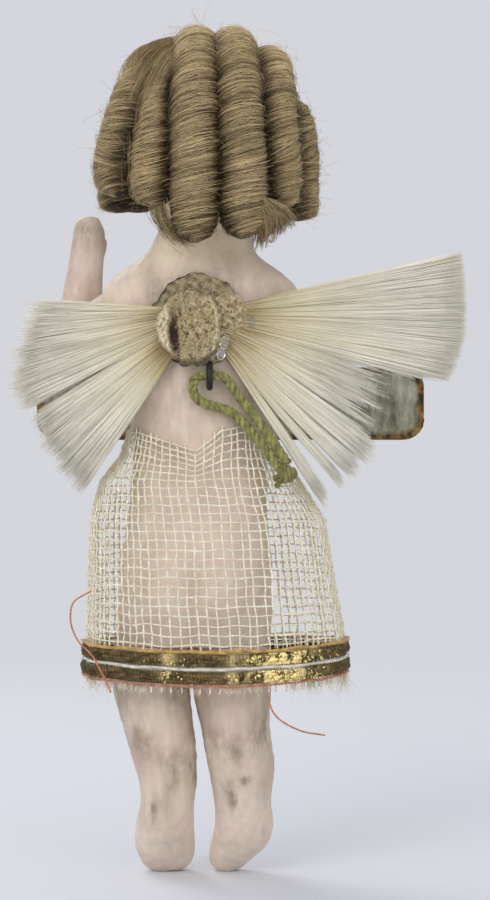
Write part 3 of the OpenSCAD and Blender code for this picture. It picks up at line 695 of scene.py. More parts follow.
def wax_body():
    crown = [113.3, 113.38, 113.44]
    z = np.concatenate([np.arange(LEG_H, NECK_Z, 0.32), np.arange(NECK_Z, 113.2, 0.15), crown])
    a = circle(220)
    x, y = body_rings(z, a)
    zz = z[:, None]

    front = step(0.15, 0.75, -np.sin(a))
    back = step(0.1, 0.6, np.sin(a))
    hx = x - HEAD[0]
    face = np.zeros_like(x)
    for rise, off, wide, height, tall in FACE:
        across = twin(hx, off, wide) if off else bell(hx, wide)
        face += rise * across * bell(zz - height, tall)
    face += 0.3 * bell(np.abs(hx) - 3.6, 2.4) * bell(zz - BROW_Z, 0.8)
    for dx in (EYE_X, -EYE_X):
        far = np.hypot(hx - dx, (zz - EYE_Z) * 1.15)
        lid = bell(far - 1.35, 0.34) * (0.7 + 0.3 * np.sign(zz - EYE_Z))
        face += 0.5 * lid - 0.55 * bell(far, 1.9)
    y = y - front * face * (zz > CHIN_Z)
    spine = -0.4 * bell(x - 0.2, 1.1) * step(55, 61, zz) * (1 - step(72, 80, zz))
    blades = 0.5 * twin(x, 6.2, 2.6) * bell(zz - 76.5, 4.5)
    seat = 0.9 * (bell(x - 5.8, 4.2) + bell(x + 4.2, 4.2)) * bell(zz - 41, 5)
    cleft = -1.0 * bell(x - 0.8, 0.8) * (1 - step(41, 47, zz))
    y = y + back * (spine + blades + seat + cleft)
    points = xyz(x, y, zz)
    uneven = 0.10 * ripple(points, 3.2, 11) + 0.05 * ripple(points, 1.1, 12)
    points = points + outward(a) * uneven[..., None]

    side = np.abs(hx)
    lips = front * bell(hx, 1.25) * (bell(zz - 97.65, 0.42) + bell(zz - 96.8, 0.42)) * (zz > CHIN_Z)
    blush = front * 0.45 * twin(hx, 5.0, 1.9) * bell(zz - 99.0, 1.7)
    brow_z = BROW_Z + 0.55 * np.cos((side - 3.9) * 0.8)
    brow = front * 0.75 * step(1.7, 2.5, side) * (1 - step(5.2, 6.2, side)) * bell(zz - brow_z, 0.24)
    from_hub = np.hypot(x - HUB[0], zz - HUB[2])
    dirt_and_shade = 0.15 + back * (0.65 * bell(from_hub, 8.5) + 0.2 * bell(zz - 60, 8))
    dirt_and_shade = dirt_and_shade + 0.25 * bell(zz - 90.5, 2) + 0.25 * back * bell(zz - 84, 4)
    paint = np.clip(np.stack([lips, blush, brow, dirt_and_shade], -1), 0, 1)
    # Painted light: the back below the waist is paler where the gauze shades it, and the neck is a brighter
    # yellow where the hair shades it.
    pale = back * (0.6 * (1 - step(54, 64, zz)) - 1.2 * bell(zz - 91, 4))
    piece("wax_body", loft(points), WAX, "wax", replaces="body", tint=pale, paint=paint)


def limb(line, sizes, up, count):
    """A limb over rings square to a line, with sizes across and deep, as the solids have them."""
    n = len(line)
    at = np.linspace(0, n - 1, count)
    middle = smooth(np.column_stack([np.arange(n), line]), at)
    size = smooth(np.column_stack([np.arange(n), sizes]), at) / 2
    along = unit(np.gradient(middle, axis=0))
    side = unit(np.cross(up, along))
    top = np.cross(along, side)
    a = circle(48)
    wide, deep = (size[:, :1] * np.cos(a))[..., None], (size[:, 1:] * np.sin(a))[..., None]
    return loft(middle[:, None] + (side[:, None] * wide + top[:, None] * deep))


def finger(start, tip, thick, bend):
    """A finger or toe from a start to a tip, bent off the straight line."""
    t = np.linspace(0, 1, 12)[:, None]
    line = mixed(start, tip, t) + bend * arch(t)
    shape = thick * np.array([0.9, 1, 1, 0.98, 0.96, 0.95, 0.95, 0.94, 0.9, 0.8, 0.6, 0.25])
    return tubes(line[None], shape[None], 14)


def moulded(parts, voxel, rounds):
    """Points and faces of parts in one skin, slightly uneven like hand-dipped wax."""
    points, faces = fused(*joined(parts), voxel, rounds)
    uneven = 0.09 * ripple(points, 2.6, 21) + 0.05 * ripple(points, 0.9, 22)
    return points + unit(points - points.mean(0)) * uneven[:, None], faces


def wax_limb(name, mesh, dirt_and_shade, pale=None):
    paint = np.zeros((len(mesh[0]), 4))
    paint[:, 3] = np.clip(dirt_and_shade, 0, 1)
    piece(f"wax_{name}", mesh, WAX, "wax", replaces=name, tint=pale, paint=paint)


# Arms: middle lines from the shoulder, with sizes across and deep

ARM, WRIST = 8.0, 5.2
LEFT_SHOULDER = np.array([11.5, 0.2, SHOULDER_Z - 3])
RIGHT_SHOULDER = LEFT_SHOULDER * (-1, 1, 1)
LEFT_FOREARM, RIGHT_FOREARM = mixed(ARM, WRIST, 0.7), mixed(ARM, WRIST, 0.6)
LEFT_ARM = [
    (-4, 0.3, 0.4), (-1, 0, 0), (2.4, -0.8, -1.1), (4.9, -3, -3.2), (6.6, -6.2, -3.2), (6.8, -8.8, -1),
    (6.2, -9.8, 3), (5.7, -10, 7), (5.4, -10, 10), (5.2, -9.9, 12), (5.2, -9.8, 13.6),
    (5.2, -9.7, 14.8), (5.2, -9.7, 15.3),
]
LEFT_ARM_SIZE = [
    (7.4, 7.0), (9.8, 8.1), (7.6, 7.6), (7.0, 7.0), (6.8, 6.9), (6.4, 6.4), (LEFT_FOREARM, LEFT_FOREARM),
    (5.3, 4.8), (5.1, 4.0), (5.0, 3.6), (4.5, 3.1), (3.2, 2.3), (1.4, 1.1),
]
RIGHT_ARM = [
    (4, 0.3, 0.4), (1, 0, 0), (-2.4, -0.8, -1.4), (-4.1, -3.4, -4.8), (-3.7, -7.2, -8.8),
    (-1.2, -10.2, -10.8), (2, -11.6, -11.6), (4.4, -11.9, -12), (5.6, -12, -12.2),
]
RIGHT_ARM_SIZE = [
    (7.4, 7.0), (9.8, 8.1), (7.6, 7.6), (7.2, 7.0), (6.7, 6.7), (RIGHT_FOREARM, RIGHT_FOREARM),
    (4.8, 4.8), (5.0, 3.8), (3.4, 2.4),
]


def wax_arms():
    line = LEFT_SHOULDER + np.array(LEFT_ARM)
    palm = line[-4]
    parts = [limb(line, LEFT_ARM_SIZE, up=(0.2, 0.9, 0.3), count=90)]
    for dx, reach in ((1.5, 2.5), (0.5, 3.3), (-0.5, 3.4), (-1.45, 2.8)):
        tip = palm + (dx * 0.85, 0.35, reach)
        parts.append(finger(palm + (dx, 0.3, -0.8), tip, thick=0.6, bend=(0, 0.1, 0)))
    tip = palm + (-2.0, -1.7, 0.4)
    parts.append(finger(palm + (-1.4, -1.1, -2.8), tip, thick=0.75, bend=(-0.2, 0, 0)))
    mesh = moulded(parts, voxel=0.2, rounds=5)
    wax_limb("left_arm", mesh, 0.4 + 0.3 * bell(mesh[0][:, 2] - 93, 3))

    line = RIGHT_SHOULDER + np.array(RIGHT_ARM)
    palm = line[-2]
    parts = [limb(line, RIGHT_ARM_SIZE, up=(0.1, 0.5, 0.9), count=80)]
    for dz, reach in ((1.55, 2.4), (0.5, 3.0), (-0.55, 2.8), (-1.55, 2.2)):
        tip = palm + (reach, -0.5, dz * 1.05 - 0.2)
        parts.append(finger(palm + (-0.6, -0.2, dz), tip, thick=0.62, bend=(0, -0.3, 0)))
    tip = palm + (1.2, 0.7, 2.9)
    parts.append(finger(palm + (-1.2, 0.5, 1.6), tip, thick=0.64, bend=(0, 0.2, 0.2)))
    wax_limb("right_arm", moulded(parts, voxel=0.24, rounds=4), dirt_and_shade=0.3)


# Legs: rows of height share, half width, half depth, share of the way to the ankle, middle in y
LEG = [
    (0, 2.2, 1.3, 1.08, -3.7),
    (0.02, 3.1, 2.0, 1.08, -3.5),
    (0.06, 3.9, 3.0, 1.08, -2.8),
    (0.12, 4.3, 3.7, 1.06, -1.8),
    (0.21, 4.2, 4.3, 1.03, -0.5),
    (0.32, 3.8, 4.2, 1, 0.5),
    (0.42, 4.1, 4.4, 0.9, 0.5),
    (0.6, 4.8, 5.1, 0.5, 0.3),
    (0.82, 5.3, 5.7, 0.05, 0.1),
    (1, 5.2, 5.7, 0, 0),
]
# How each leg differs, with the right foot turned in: rows of height share, shift to the left,
# change of half width
LEG_SHAPE = {
    "left": [
        (0, 0.7, 0), (0.2, 0.75, 0), (0.35, 0.15, 0.1), (0.6, 0.2, 0.1), (0.82, 0.6, 0.2),
        (1, 0.5, 0.2),
    ],
    "right": [
        (0, 1.9, -0.9), (0.05, 1.3, -0.8), (0.11, 0.2, -0.3), (0.2, -0.72, 0), (0.33, -0.6, 0.28),
        (0.47, -0.55, 0.35), (0.63, -0.1, 0.05), (0.81, 0.2, 0.3), (1, 0.2, 0.2),
    ],
}
# Smears of dirt on the backs of the legs: rows of x, z, half width, half height, strength
SMEARS = {
    "left": [
        (6.7, 9.6, 0.5, 1.2, 0.7), (7.1, 7.7, 1.5, 1.2, 0.5), (3.4, 13.8, 1.5, 2.3, 0.4),
        (5, 16.8, 2.8, 1.6, 0.5), (8.2, 24, 1.6, 4, 0.3),
    ],
    "right": [
        (-4.7, 11, 0.9, 1.6, 0.9), (-3.8, 13.2, 1.2, 1.7, 0.85), (-6.3, 14.1, 1.5, 1.3, 0.95),
        (-4.9, 17, 2.8, 1.8, 0.2), (-8.9, 6.6, 0.4, 1.2, 0.9), (-2.2, 24, 1.2, 5, 0.35),
    ],
}
TOE_SPREAD = {"left": 0.95, "right": 0.7}
TOE_SIZE = (0.58, 0.62, 0.66, 0.72, 0.9)


def wax_leg(name, side):
    hip, ankle = 1 + side * 5.6, -0.45 + side * 4.95
    t = np.linspace(0, 1, 120)
    a = circle(64)
    w, d, share, y = smooth(LEG, t).T
    shift, wider = smooth(LEG_SHAPE[name], t).T
    x = mixed(hip, ankle, share) + shift
    across = x[:, None] + (w + wider)[:, None] * np.cos(a)
    deep = y[:, None] + d[:, None] * np.sin(a)
    parts = [loft(xyz(across, deep, LEG_H * t[:, None]))]
    toe = np.array([x[0], -4.6, 0.95])
    for k, thick in enumerate(TOE_SIZE):
        dx = side * TOE_SPREAD[name] * (2 - k)
        tip = toe + (dx * 1.05, -0.35 - 0.12 * k, -0.05 * k)
        parts.append(finger(toe + (dx, 1.2, 1.2), tip, thick, bend=(0, -0.2, 0)))
    p, faces = moulded(parts, voxel=0.26, rounds=3)
    back = step(-1, 3, p[:, 1])
    p[:, 1] += 0.35 * back * bell(p[:, 2] - 18, 5)
    marks = [
        strength * bell(np.hypot((p[:, 0] - mx) / wide, (p[:, 2] - mz) / tall), 1)
        for mx, mz, wide, tall, strength in SMEARS[name]
    ]
    # Painted shadow of the hem: the thighs are darkened towards the dirt colour where the skirt shades them.
    hem_shadow = step(13, 20, p[:, 2])
    dirt_and_shade = 0.22 + 0.26 * hem_shadow + 0.9 * sum(marks) * back + 0.25 * ripple(p, 4, 31 + side)
    # Painted light: the feet are paler, where the lamps light them less.
    pale = 0.55 * (1 - step(5, 14, p[:, 2]))
    p[:, 2] = np.maximum(p[:, 2], 0.02)
    wax_limb(f"{name}_leg", (p, faces), dirt_and_shade, pale)


wax_body()
wax_arms()
wax_leg("left", 1)
wax_leg("right", -1)
dress(IRON, "left_arm_pin", "right_arm_pin", "left_leg_pin", "right_leg_pin", "hanging_eye")
dress(BEAD, "left_eye", "right_eye")


# Wig: curls wound over the head, on a cap

# Sizes of the solids: curl, cap, gap under the cap, rise over the crown, power of the dome's outline
CURL_D, CAP_T, WIG_GAP, WIG_RISE, DOME = 6.5, 0.5, 0.1, 0.8, 0.5
LONG, SHORT = 12.0, 6.4
# Rows of side share at start and end, first and last angle back over the crown, size, drop
CURLS = [
    (0.13, 0.12, -58, 97, 1, LONG),
    (-0.18, -0.35, -58, 97, 1, LONG - 0.6),
    (0.47, 0.575, 20, 98, 0.84, SHORT + 0.4),
    (-0.56, -0.77, -56, 97, 0.82, SHORT + 0.4),
    (0.37, 0.93, -56, 90, 0.96, SHORT - 1.6),
    (-0.92, -0.975, 30, 86, 0.8, SHORT + 1.6),
    (0.9, 0.985, -20, -60, 0.8, SHORT),
    (-0.93, -0.962, -34, -76, 0.72, SHORT),
    (0.8, 0.8, -64, -82, 0.76, SHORT - 0.6),
    (-0.77, -0.77, -64, -84, 0.7, SHORT - 0.6),
]
# Thickness of a curl, by share of its length
CURL_SIZE = [
    (0, 0.3), (0.06, 0.66), (0.2, 0.88), (0.45, 0.96), (0.7, 1), (0.9, 1), (0.955, 0.9), (0.985, 0.62),
    (1, 0.1),
]
# How full the hair is on the crown against its solid, and how much lower it lies there, by curl
PUFF = {3: 0.7, 4: 1.12, 5: 0.9, 6: 1.08}
SINK = {5: 1.5}
# Points on a curl's line, hairs to its millimetre and at most, and millimetres that they climb in one turn
CURL_POINTS = 240
HAIRS_PER_MM, MOST_HAIRS = 88, 3300
WIND = 4.6
# Radius of the finest hair, and of the hair under the curls
HAIR_R, UNDER_R = 0.016, 0.03


def on_head(share, angle, out):
    """A place in the dome of curls: share to the side, angle back over the crown, out from the skin."""
    f = np.sqrt(1 - np.asarray(share) ** 2)
    top = HEAD_TOP + out + WIG_RISE * np.cos(angle) ** 2
    x = HEAD[0] + share * (HEAD_W + out)
    y = f * (HEAD_D + out) * np.sin(angle)
    return xyz(x, y, HEAD[2] + f**DOME * top * np.cos(angle))


class Curl:
    """One curl: its line, and places on its skin."""

    def __init__(self, k, first, last, start, end, size, drop):
        radius = CURL_D * size / 2
        t = np.linspace(0, 1, 12)
        out = WIG_GAP * 3.5 + CAP_T + radius - SINK.get(k, 0) * (1 - step(0.4, 0.9, t))
        over = on_head(mixed(first, last, t), np.radians(mixed(start, end, t)), out)
        down = np.repeat(over[-1:], 5, 0)
        down[:, 2] += (HEAD[2] - drop - over[-1, 2]) * np.linspace(0.2, 1, 5)
        self.line = route(np.concatenate([over, down]), CURL_POINTS)
        self.length = distance(self.line)[-1]
        along = unit(np.gradient(self.line, axis=0))
        self.side = unit(np.cross(along, np.cross([1.0, 0.0, 0.0], along)))
        self.top = np.cross(along, self.side)
        share = np.linspace(0, 1, CURL_POINTS)
        puff = mixed(PUFF.get(k, 1), 1, step(0.3, 0.75, share))
        self.wide = 1.1 * puff * radius * np.interp(share, *np.array(CURL_SIZE).T)
        self.number = k

    def locks(self, s, a):
        """Ridges of hair, by the way along the winding at shares s and angles a."""
        q = TURN * (s * self.length - WIND * a / TURN)
        k = self.number
        return 0.45 * np.sin(q / 2.3 + k) + 0.35 * np.sin(q / 0.97 + 2 * k) + 0.35 * np.sin(q / 4.9)

    def facing(self, s, a):
        """How far the hair there faces out from the head, from 0 in the grooves to 1, for painted shade in
        the grooves and painted highlight on the crests.
        """
        last = CURL_POINTS - 1
        i = np.clip(s * last, 0, last).astype(int)
        away = unit(self.line - HEAD)[i]
        return step(0.12, 1, (swing(self.side[i], self.top[i], a) * away).sum(-1))

    def skin(self, s, a, lift):
        """Places at shares s along the curl and angles a round it, lifted off its core by millimetres."""
        i = np.clip(s, 0, 1) * (CURL_POINTS - 1)
        table = (*self.line.T, *self.side.T, *self.top.T, self.wide)
        at = np.stack([np.interp(i, np.arange(CURL_POINTS), v) for v in table], -1)
        line, side, top, wide = at[..., 0:3], at[..., 3:6], at[..., 6:9], at[..., 9]
        r = np.maximum(wide * 0.95 + 0.09 * self.locks(s, a) + lift, 0.02)[..., None]
        return line + r * swing(side, top, a)


def ringlet(k, row):
    rng = np.random.default_rng(100 + k)
    curl = Curl(k, *row)
    core = loft(curl.skin(np.linspace(0, 1, 110)[:, None], circle(30), -0.12))

    count = int(min(HAIRS_PER_MM * curl.length, MOST_HAIRS))
    t = np.linspace(0, 1, 18)[None]
    turns = rng.uniform(0.35, 0.95, count)[:, None]
    tilt = rng.normal(WIND, 1.4, count)[:, None]
    s0 = rng.uniform(0.0, 1.0, count)[:, None]
    a = rng.uniform(0, TURN, count)[:, None] - TURN * (t - 0.5) * turns
    sway = 0.14 * np.sin(TURN * (t * 1.1 + rng.uniform(0, 1, (count, 1))))
    s = np.clip(s0 - ((t - 0.5) * turns * tilt + sway) / curl.length, 0, 1)
    loose = np.where(rng.random(count) < 0.2, rng.gamma(2.0, 0.11, count), 0)[:, None]
    lift = rng.uniform(-0.06, 0.08, count)[:, None] + loose * arch(t) - 0.22 * (2 * t - 1) ** 6
    thick = (HAIR_R + 0.014 * rng.random(count))[:, None]
    # Painted light and shade: hair is tinted dark in the grooves and light on the crests by facing, and
    # darker the deeper it lies; locks and noise vary it too.
    shade = -0.03 + 0.72 * curl.facing(s, a) + 0.15 * curl.locks(s, a) + 0.8 * (lift - 0.02)
    shade = np.clip(shade + rng.normal(0, 0.24, count)[:, None], 0.02, 1)
    # The core under the strands is tinted nearly black, as painted shade deep in the curl.
    made = [(core, np.full(len(core[0]), 0.04)), strands(curl.skin(s, a, lift), thick, shade)]
    tinted(f"hair_{k}", made, HAIR, "mohair", replaces=f"ringlet_{k}")
    return curl


# Locks that have slipped at the left shoulder and the nape, and a few hairs over the crown: rows of the
# ends of the lines that they start on and stop on, bend, turn of the tips, count, seed
LOCKS = [
    (
        [(-7.2, 14.4, 97.2), (-9.2, 13.6, 95.0)], [(-8.2, 12.4, 89.2), (-13.4, 10.8, 92.8)],
        (-0.5, 1.5, 0.2), (0.3, -1.8, 0.3), 700, 78,
    ),
    (
        [(7.0, 10.0, 97.5), (5.2, 12.0, 97.0)], [(4.2, 10.4, 90.8), (1.6, 12.2, 89.6)],
        (0.7, 0.9, -0.6), (-0.6, -0.8, 0), 240, 81,
    ),
    (
        [(-0.4, -1, 121.7), (0.2, 2, 121.4)], [(1.4, 0, 124.4), (-3.2, 1, 125.0)],
        (0.3, 0, 0.6), (0, 0, 0), 3, 80,
    ),
]


def lock(starts, ends, bend, tuck, count, seed):
    """Loose hairs from places near one line to places near another, bent, with tips that turn in."""
    rng = np.random.default_rng(seed)
    u = rng.random((count, 1))
    first, last = (mixed(*np.array(line), u) for line in (starts, ends))
    first = first + rng.normal(0, 0.3, (count, 3))
    last = last + rng.normal(0, 0.5, (count, 3))
    t = np.linspace(0, 1, 16)[None, :, None]
    bow = (bend + rng.normal(0, 0.3, (count, 3)))[:, None]
    paths = mixed(first[:, None], last[:, None], t) + bow * arch(t) + tuck * t**4
    thick = 0.018 + 0.012 * rng.random((count, 1))
    return strands(paths, thick, np.clip(rng.normal(0.5, 0.25, count), 0.05, 1))


# Hair in the hollows: rows of count, first and last side share, least and most lift, drop under the
# edge of the dome, and tint, which is painted shade: darkest in the deep grooves between the curls
HOLLOWS = [
    (1500, -0.93, 0.93, 1.4, 3.6, 15, 0.12),
    (300, -0.17, -0.07, 3.4, 5.2, 20, 0.08),
    (300, 0.30, 0.44, 2.6, 4.8, 24, 0.08),
    (160, -0.66, -0.56, 3.0, 4.2, 18, 0.1),
    (620, 0.58, 0.93, 3.0, 5.0, 14, 0.42),
    (500, -0.93, -0.74, 2.4, 4.2, 14, 0.42),
]
DOME_EDGE = np.radians(96)


def under_hair():
    """Hair that fills the hollows between the curls, with painted shade: tinted dark where the hollows are
    deep.
    """
    rng = np.random.default_rng(79)
    t = np.linspace(0, 1, 18)[None]
    paths, tints = [], []
    for n, first, last, near, far, drop, tint in HOLLOWS:
        share = rng.uniform(first, last, (n, 1)) + 0.05 * rng.normal(size=(n, 1)) * t
        angle = np.radians(rng.uniform(-62, 20, (n, 1)) + t * rng.uniform(60, 100, (n, 1)))
        out = rng.uniform(near, far, (n, 1))
        line = on_head(np.clip(share, -0.96, 0.96), np.minimum(angle, DOME_EDGE), out)
        line[..., 2] -= drop * np.maximum(angle - DOME_EDGE, 0)
        paths.append(line)
        tints.append(np.clip(rng.normal(tint, 0.1, n), 0, 0.8))
    return strands(np.concatenate(paths), UNDER_R, np.concatenate(tints))


def crown_sweep():
    """Hair combed from the crown over the outer curls."""
    rng = np.random.default_rng(82)
    n = 900
    t = np.linspace(0, 1, 18)[None]
    u = rng.random((n, 1))
    share = 0.16 + 0.2 * u + (0.4 + 0.2 * u) * t + 0.03 * rng.normal(size=(n, 1))
    angle = np.radians(-24 + 52 * rng.random((n, 1)) + 46 * t)
    out = 5.2 + 0.8 * arch(t) + rng.uniform(-0.7, 0.5, (n, 1)) - 2.2 * t**5
    paths = on_head(np.clip(share, -0.97, 0.97), angle, out)
    thick = HAIR_R + 0.012 * rng.random((n, 1))
    # Painted light: the tint is set high for hair that lies in the shade of the curls; the sine and noise
    # vary it from strand to strand.
    shade = 0.55 + 0.2 * np.sin(9 * u) + rng.normal(0, 0.18, (n, 1))
    return strands(paths, thick, np.clip(shade, 0.03, 1))


def curl_fuzz(curls):
    """Short hairs that stand off the curls, most on the outer two."""
    rng = np.random.default_rng(77)
    t = np.linspace(0, 1, 12)[:, None]
    paths = []
    for curl in curls:
        per_mm = 16 if curl.number in (5, 6) else 11
        for _ in range(int(per_mm * curl.length)):
            i = rng.integers(8, CURL_POINTS - 4)
            a = rng.uniform(0, TURN)
            out = swing(curl.side[i], curl.top[i], a)
            flow = swing(curl.top[i], -curl.side[i], a)
            reach = rng.gamma(3.0, 0.36)
            lean = flow * rng.choice([-1, 1]) + rng.normal(0, 0.45, 3)
            rise = rng.uniform(0.2, 0.55)
            start = curl.line[i] + out * curl.wide[i] * 0.95
            bend = lean * t + out * rise * np.sin(2.2 * t) + rng.normal(0, 0.2, 3) * t**2
            paths.append(start + reach * bend)
    return strands(np.array(paths), HAIR_R, rng.uniform(0.35, 0.9, len(paths)))


def loose_hair(curls):
    """Hair that is not wound into the curls."""
    tinted("stray_hairs", [curl_fuzz(curls), *(lock(*row) for row in LOCKS)], HAIR, "mohair")
    tinted("under_hair", [under_hair()], HAIR, "mohair")
    tinted("crown_hair", [crown_sweep()], HAIR, "mohair")


# The cap's edge, in degrees from the crown, and how far its inner face lies off the skin
CAP_FRONT, CAP_BACK, CAP_OUT = 44, 104, 0.25


def on_cap(share, turn, out):
    """A place over the cap: share from the crown to its edge, turn round it, and out from the skin."""
    polar = share * np.radians(mixed(CAP_FRONT, CAP_BACK, (1 + np.sin(turn)) / 2))
    x = HEAD[0] + (HEAD_W + out) * np.sin(polar) * np.cos(turn)
    y = (HEAD_D + out) * np.sin(polar) * np.sin(turn)
    return xyz(x, y, HEAD[2] + (HEAD_TOP + out) * np.cos(polar))


def wig_cap():
    """The cap, with hair combed down over it."""
    a = circle(72)
    steps = np.linspace(0.03, 1, 26)[:, None]
    cap = loft(np.concatenate([on_cap(steps, a, CAP_OUT), on_cap(steps, a, CAP_OUT + CAP_T)[::-1]]))
    piece("wig_cloth", cap, CAP, "cap_cloth", replaces="wig_cap")

    rng = np.random.default_rng(88)
    n = 1800
    t = np.linspace(0, 1, 14)[None]
    start = rng.uniform(0.02, 0.7, (n, 1))
    share = np.clip(start + t * rng.uniform(0.25, 0.6, (n, 1)), 0, 1.04)
    turn = rng.uniform(0, TURN, (n, 1)) + 0.25 * rng.normal(size=(n, 1)) * t
    paths = on_cap(share, turn, 0.8 + 0.25 * rng.random((n, 1)))
    hair = strands(paths, UNDER_R, np.clip(rng.normal(0.3, 0.15, n), 0.03, 0.8))
    tinted("cap_hair", [hair], HAIR, "mohair")


loose_hair([ringlet(k, row) for k, row in enumerate(CURLS, 1)])
wig_cap()


# Wings: fans of spun glass, from roots round the hub

ROOT_T = 1.2
ROOT_Y = HUB[1] + 0.6
ROOT_R = 3.4
# Rows of share over the fan, root angle, tip angle, reach share, fray of the tips
LEFT_FAN = [
    (0, 29, 7, 0.86, 0.11),
    (0.15, 15, -3, 0.88, 0.09),
    (0.4, -7, -19, 0.97, 0.07),
    (0.58, -23, -30, 0.93, 0.06),
    (0.78, -40, -42, 0.96, 0.05),
    (1, -58, -56, 1, 0.05),
]
RIGHT_FAN = [
    (0, 28, 14.5, 1, 0.012),
    (0.14, 18, 5, 0.985, 0.012),
    (0.26, 9, -3, 0.985, 0.014),
    (0.43, -3, -13.2, 0.955, 0.02),
    (0.465, -6.5, -16.5, 0.82, 0.22),
    (0.64, -18, -29.5, 0.79, 0.21),
    (0.71, -24, -35, 0.82, 0.05),
    (1, -45, -55.5, 0.83, 0.06),
]
# Where the bundles part: rows of share and half width of the gap at the tips
LEFT_SPLITS = [(0.3, 0.004), (0.555, 0.026), (0.7, 0.006), (0.84, 0.008)]
RIGHT_SPLITS = [(0.36, 0.003), (0.455, 0.008), (0.68, 0.014), (0.8, 0.012), (0.885, 0.016), (0.935, 0.03)]


def wing(name, side, fan, splits, reach, count, bundles, clean, rust, seed):
    """A fan of strands in bundles that part at splits, its roots stained less by clean and more by rust."""
    rng = np.random.default_rng(seed)

    def spread(sd):
        """A random value for each strand, about 0."""
        return rng.normal(0, sd, count)[:, None]

    places, roots, tips, reaches, frays = np.array(fan, float).T
    middle = (np.arange(bundles) + 0.5 + rng.uniform(-0.35, 0.35, bundles)) / bundles
    bundle = rng.integers(0, bundles, count)
    even = rng.random(count) < 0.75
    loose = rng.random(count)
    gathered = np.clip(middle[bundle] + rng.normal(0, 0.4 / bundles, count), 0, 1)
    near = np.where(even, loose, gathered)
    bundle = np.minimum((near * bundles).astype(int), bundles - 1)
    layer = np.where(rng.random(count) < 0.5, 0.2, 0.8)
    depth = np.clip(layer + rng.normal(0, 0.2, count), -0.05, 1.05)
    fray = np.interp(near, places, frays)
    long = 1.01 - fray * (2 * rng.random(count) ** 0.4 + 0.4 * rng.random(bundles)[bundle])
    long = long * np.where(rng.random(count) < 0.05, rng.uniform(0.7, 1, count), 1)
    t = np.linspace(0, 1, 9)[None]
    apart = np.zeros((count, 9))
    for at, wide in splits:
        off = near - at
        apart += (np.sign(off) * wide * np.exp(-np.abs(off) / (2.5 * wide)))[:, None] * step(0.15, 1, t)
    share = np.clip(near[:, None] + apart + spread(0.005) * t, -0.012, 1.012)
    start, end = (np.radians(np.interp(share, places, angles)) for angles in (roots, tips))
    far = np.interp(share, places, reaches) * reach
    s = t * long[:, None]
    x = mixed(ROOT_R * np.cos(start), far * np.cos(end), s)
    z = mixed(ROOT_R * np.sin(start), far * np.sin(end), s)
    wave = spread(0.07) * arch(t) + spread(0.16) * t**2
    y = (depth - 0.5)[:, None] * ROOT_T * (1 + 0.7 * s) + ROOT_T / 2 - 3.0 * s**2 + 0.5 * wave
    paths = HUB + xyz(side * x, y + ROOT_Y - HUB[1], z + wave)
    thick = (0.03 + 0.016 * rng.random(count))[:, None] * (1 - 0.45 * t**3)
    tone = rng.normal(0.86, 0.04, count) + 0.025 * rng.normal(size=bundles)[bundle]
    darkening = np.where(rng.random(count) < 0.5, rng.uniform(0.1, 0.8, count), 0)[:, None]
    darkening = darkening * (1 - step(0.05, 0.3, s))
    rusty = rust * step(0.5, 0.8, near)[:, None] * (1 - step(0.06, 0.3, s))
    stain = np.clip(s**0.72 * 1.13 + clean - rusty - darkening + spread(0.05), 0, 1)
    glass = strands(paths, thick, np.clip(tone, 0.5, 1)[:, None] * stain)
    tinted(f"glass_{name}", [glass], GLASS, "spun_glass", replaces=name)


wing(
    "left_wing", 1, LEFT_FAN, LEFT_SPLITS,
    reach=30.2, count=6600, bundles=30, clean=0.11, rust=0.42, seed=51,
)
wing(
    "right_wing", -1, RIGHT_FAN, RIGHT_SPLITS,
    reach=38.8, count=7400, bundles=40, clean=0.03, rust=0, seed=52,
)


# Hub: rough pad of dried glue and wadding over the roots, on a card disc

PAD = np.array([1.3, ROOT_Y + ROOT_T, 78.25])
PAD_H = 1.75


def mound(height, centre, half, floor, inner=60, count=260):
    """A rough mound on the back: a function for its height and tint, half sizes, and a floor in y."""
    a = circle(count)
    r = np.concatenate([np.linspace(0.01, 0.8, inner), np.linspace(0.81, 1.0, inner // 2)])
    edge = 1 + 0.025 * np.cos(3 * a + 0.7) + 0.02 * np.cos(5 * a)
    edge = edge + 0.02 * np.sin(9 * a) + 0.012 * np.sin(23 * a)
    x = r[:, None] * edge * half[0] * np.cos(a)
    z = r[:, None] * edge * half[1] * np.sin(a)
    y, tint = height(xyz(x, 0, z), r[:, None])
    top = xyz(centre[0] + x, centre[1] + np.maximum(y, 0.02), centre[2] + z)
    wall = xyz(centre[0] + 0.98 * x[-1], floor, centre[2] + 0.98 * z[-1])
    rings = np.concatenate([wall[None], top[::-1]])[:, ::-1]
    # The wall down to the floor gets a low tint: painted shade on the mound's side.
    shade = np.concatenate([np.full((1, count), 0.3), np.clip(tint, 0, 1)[::-1]])[:, ::-1]
    return loft(rings), shade.ravel()


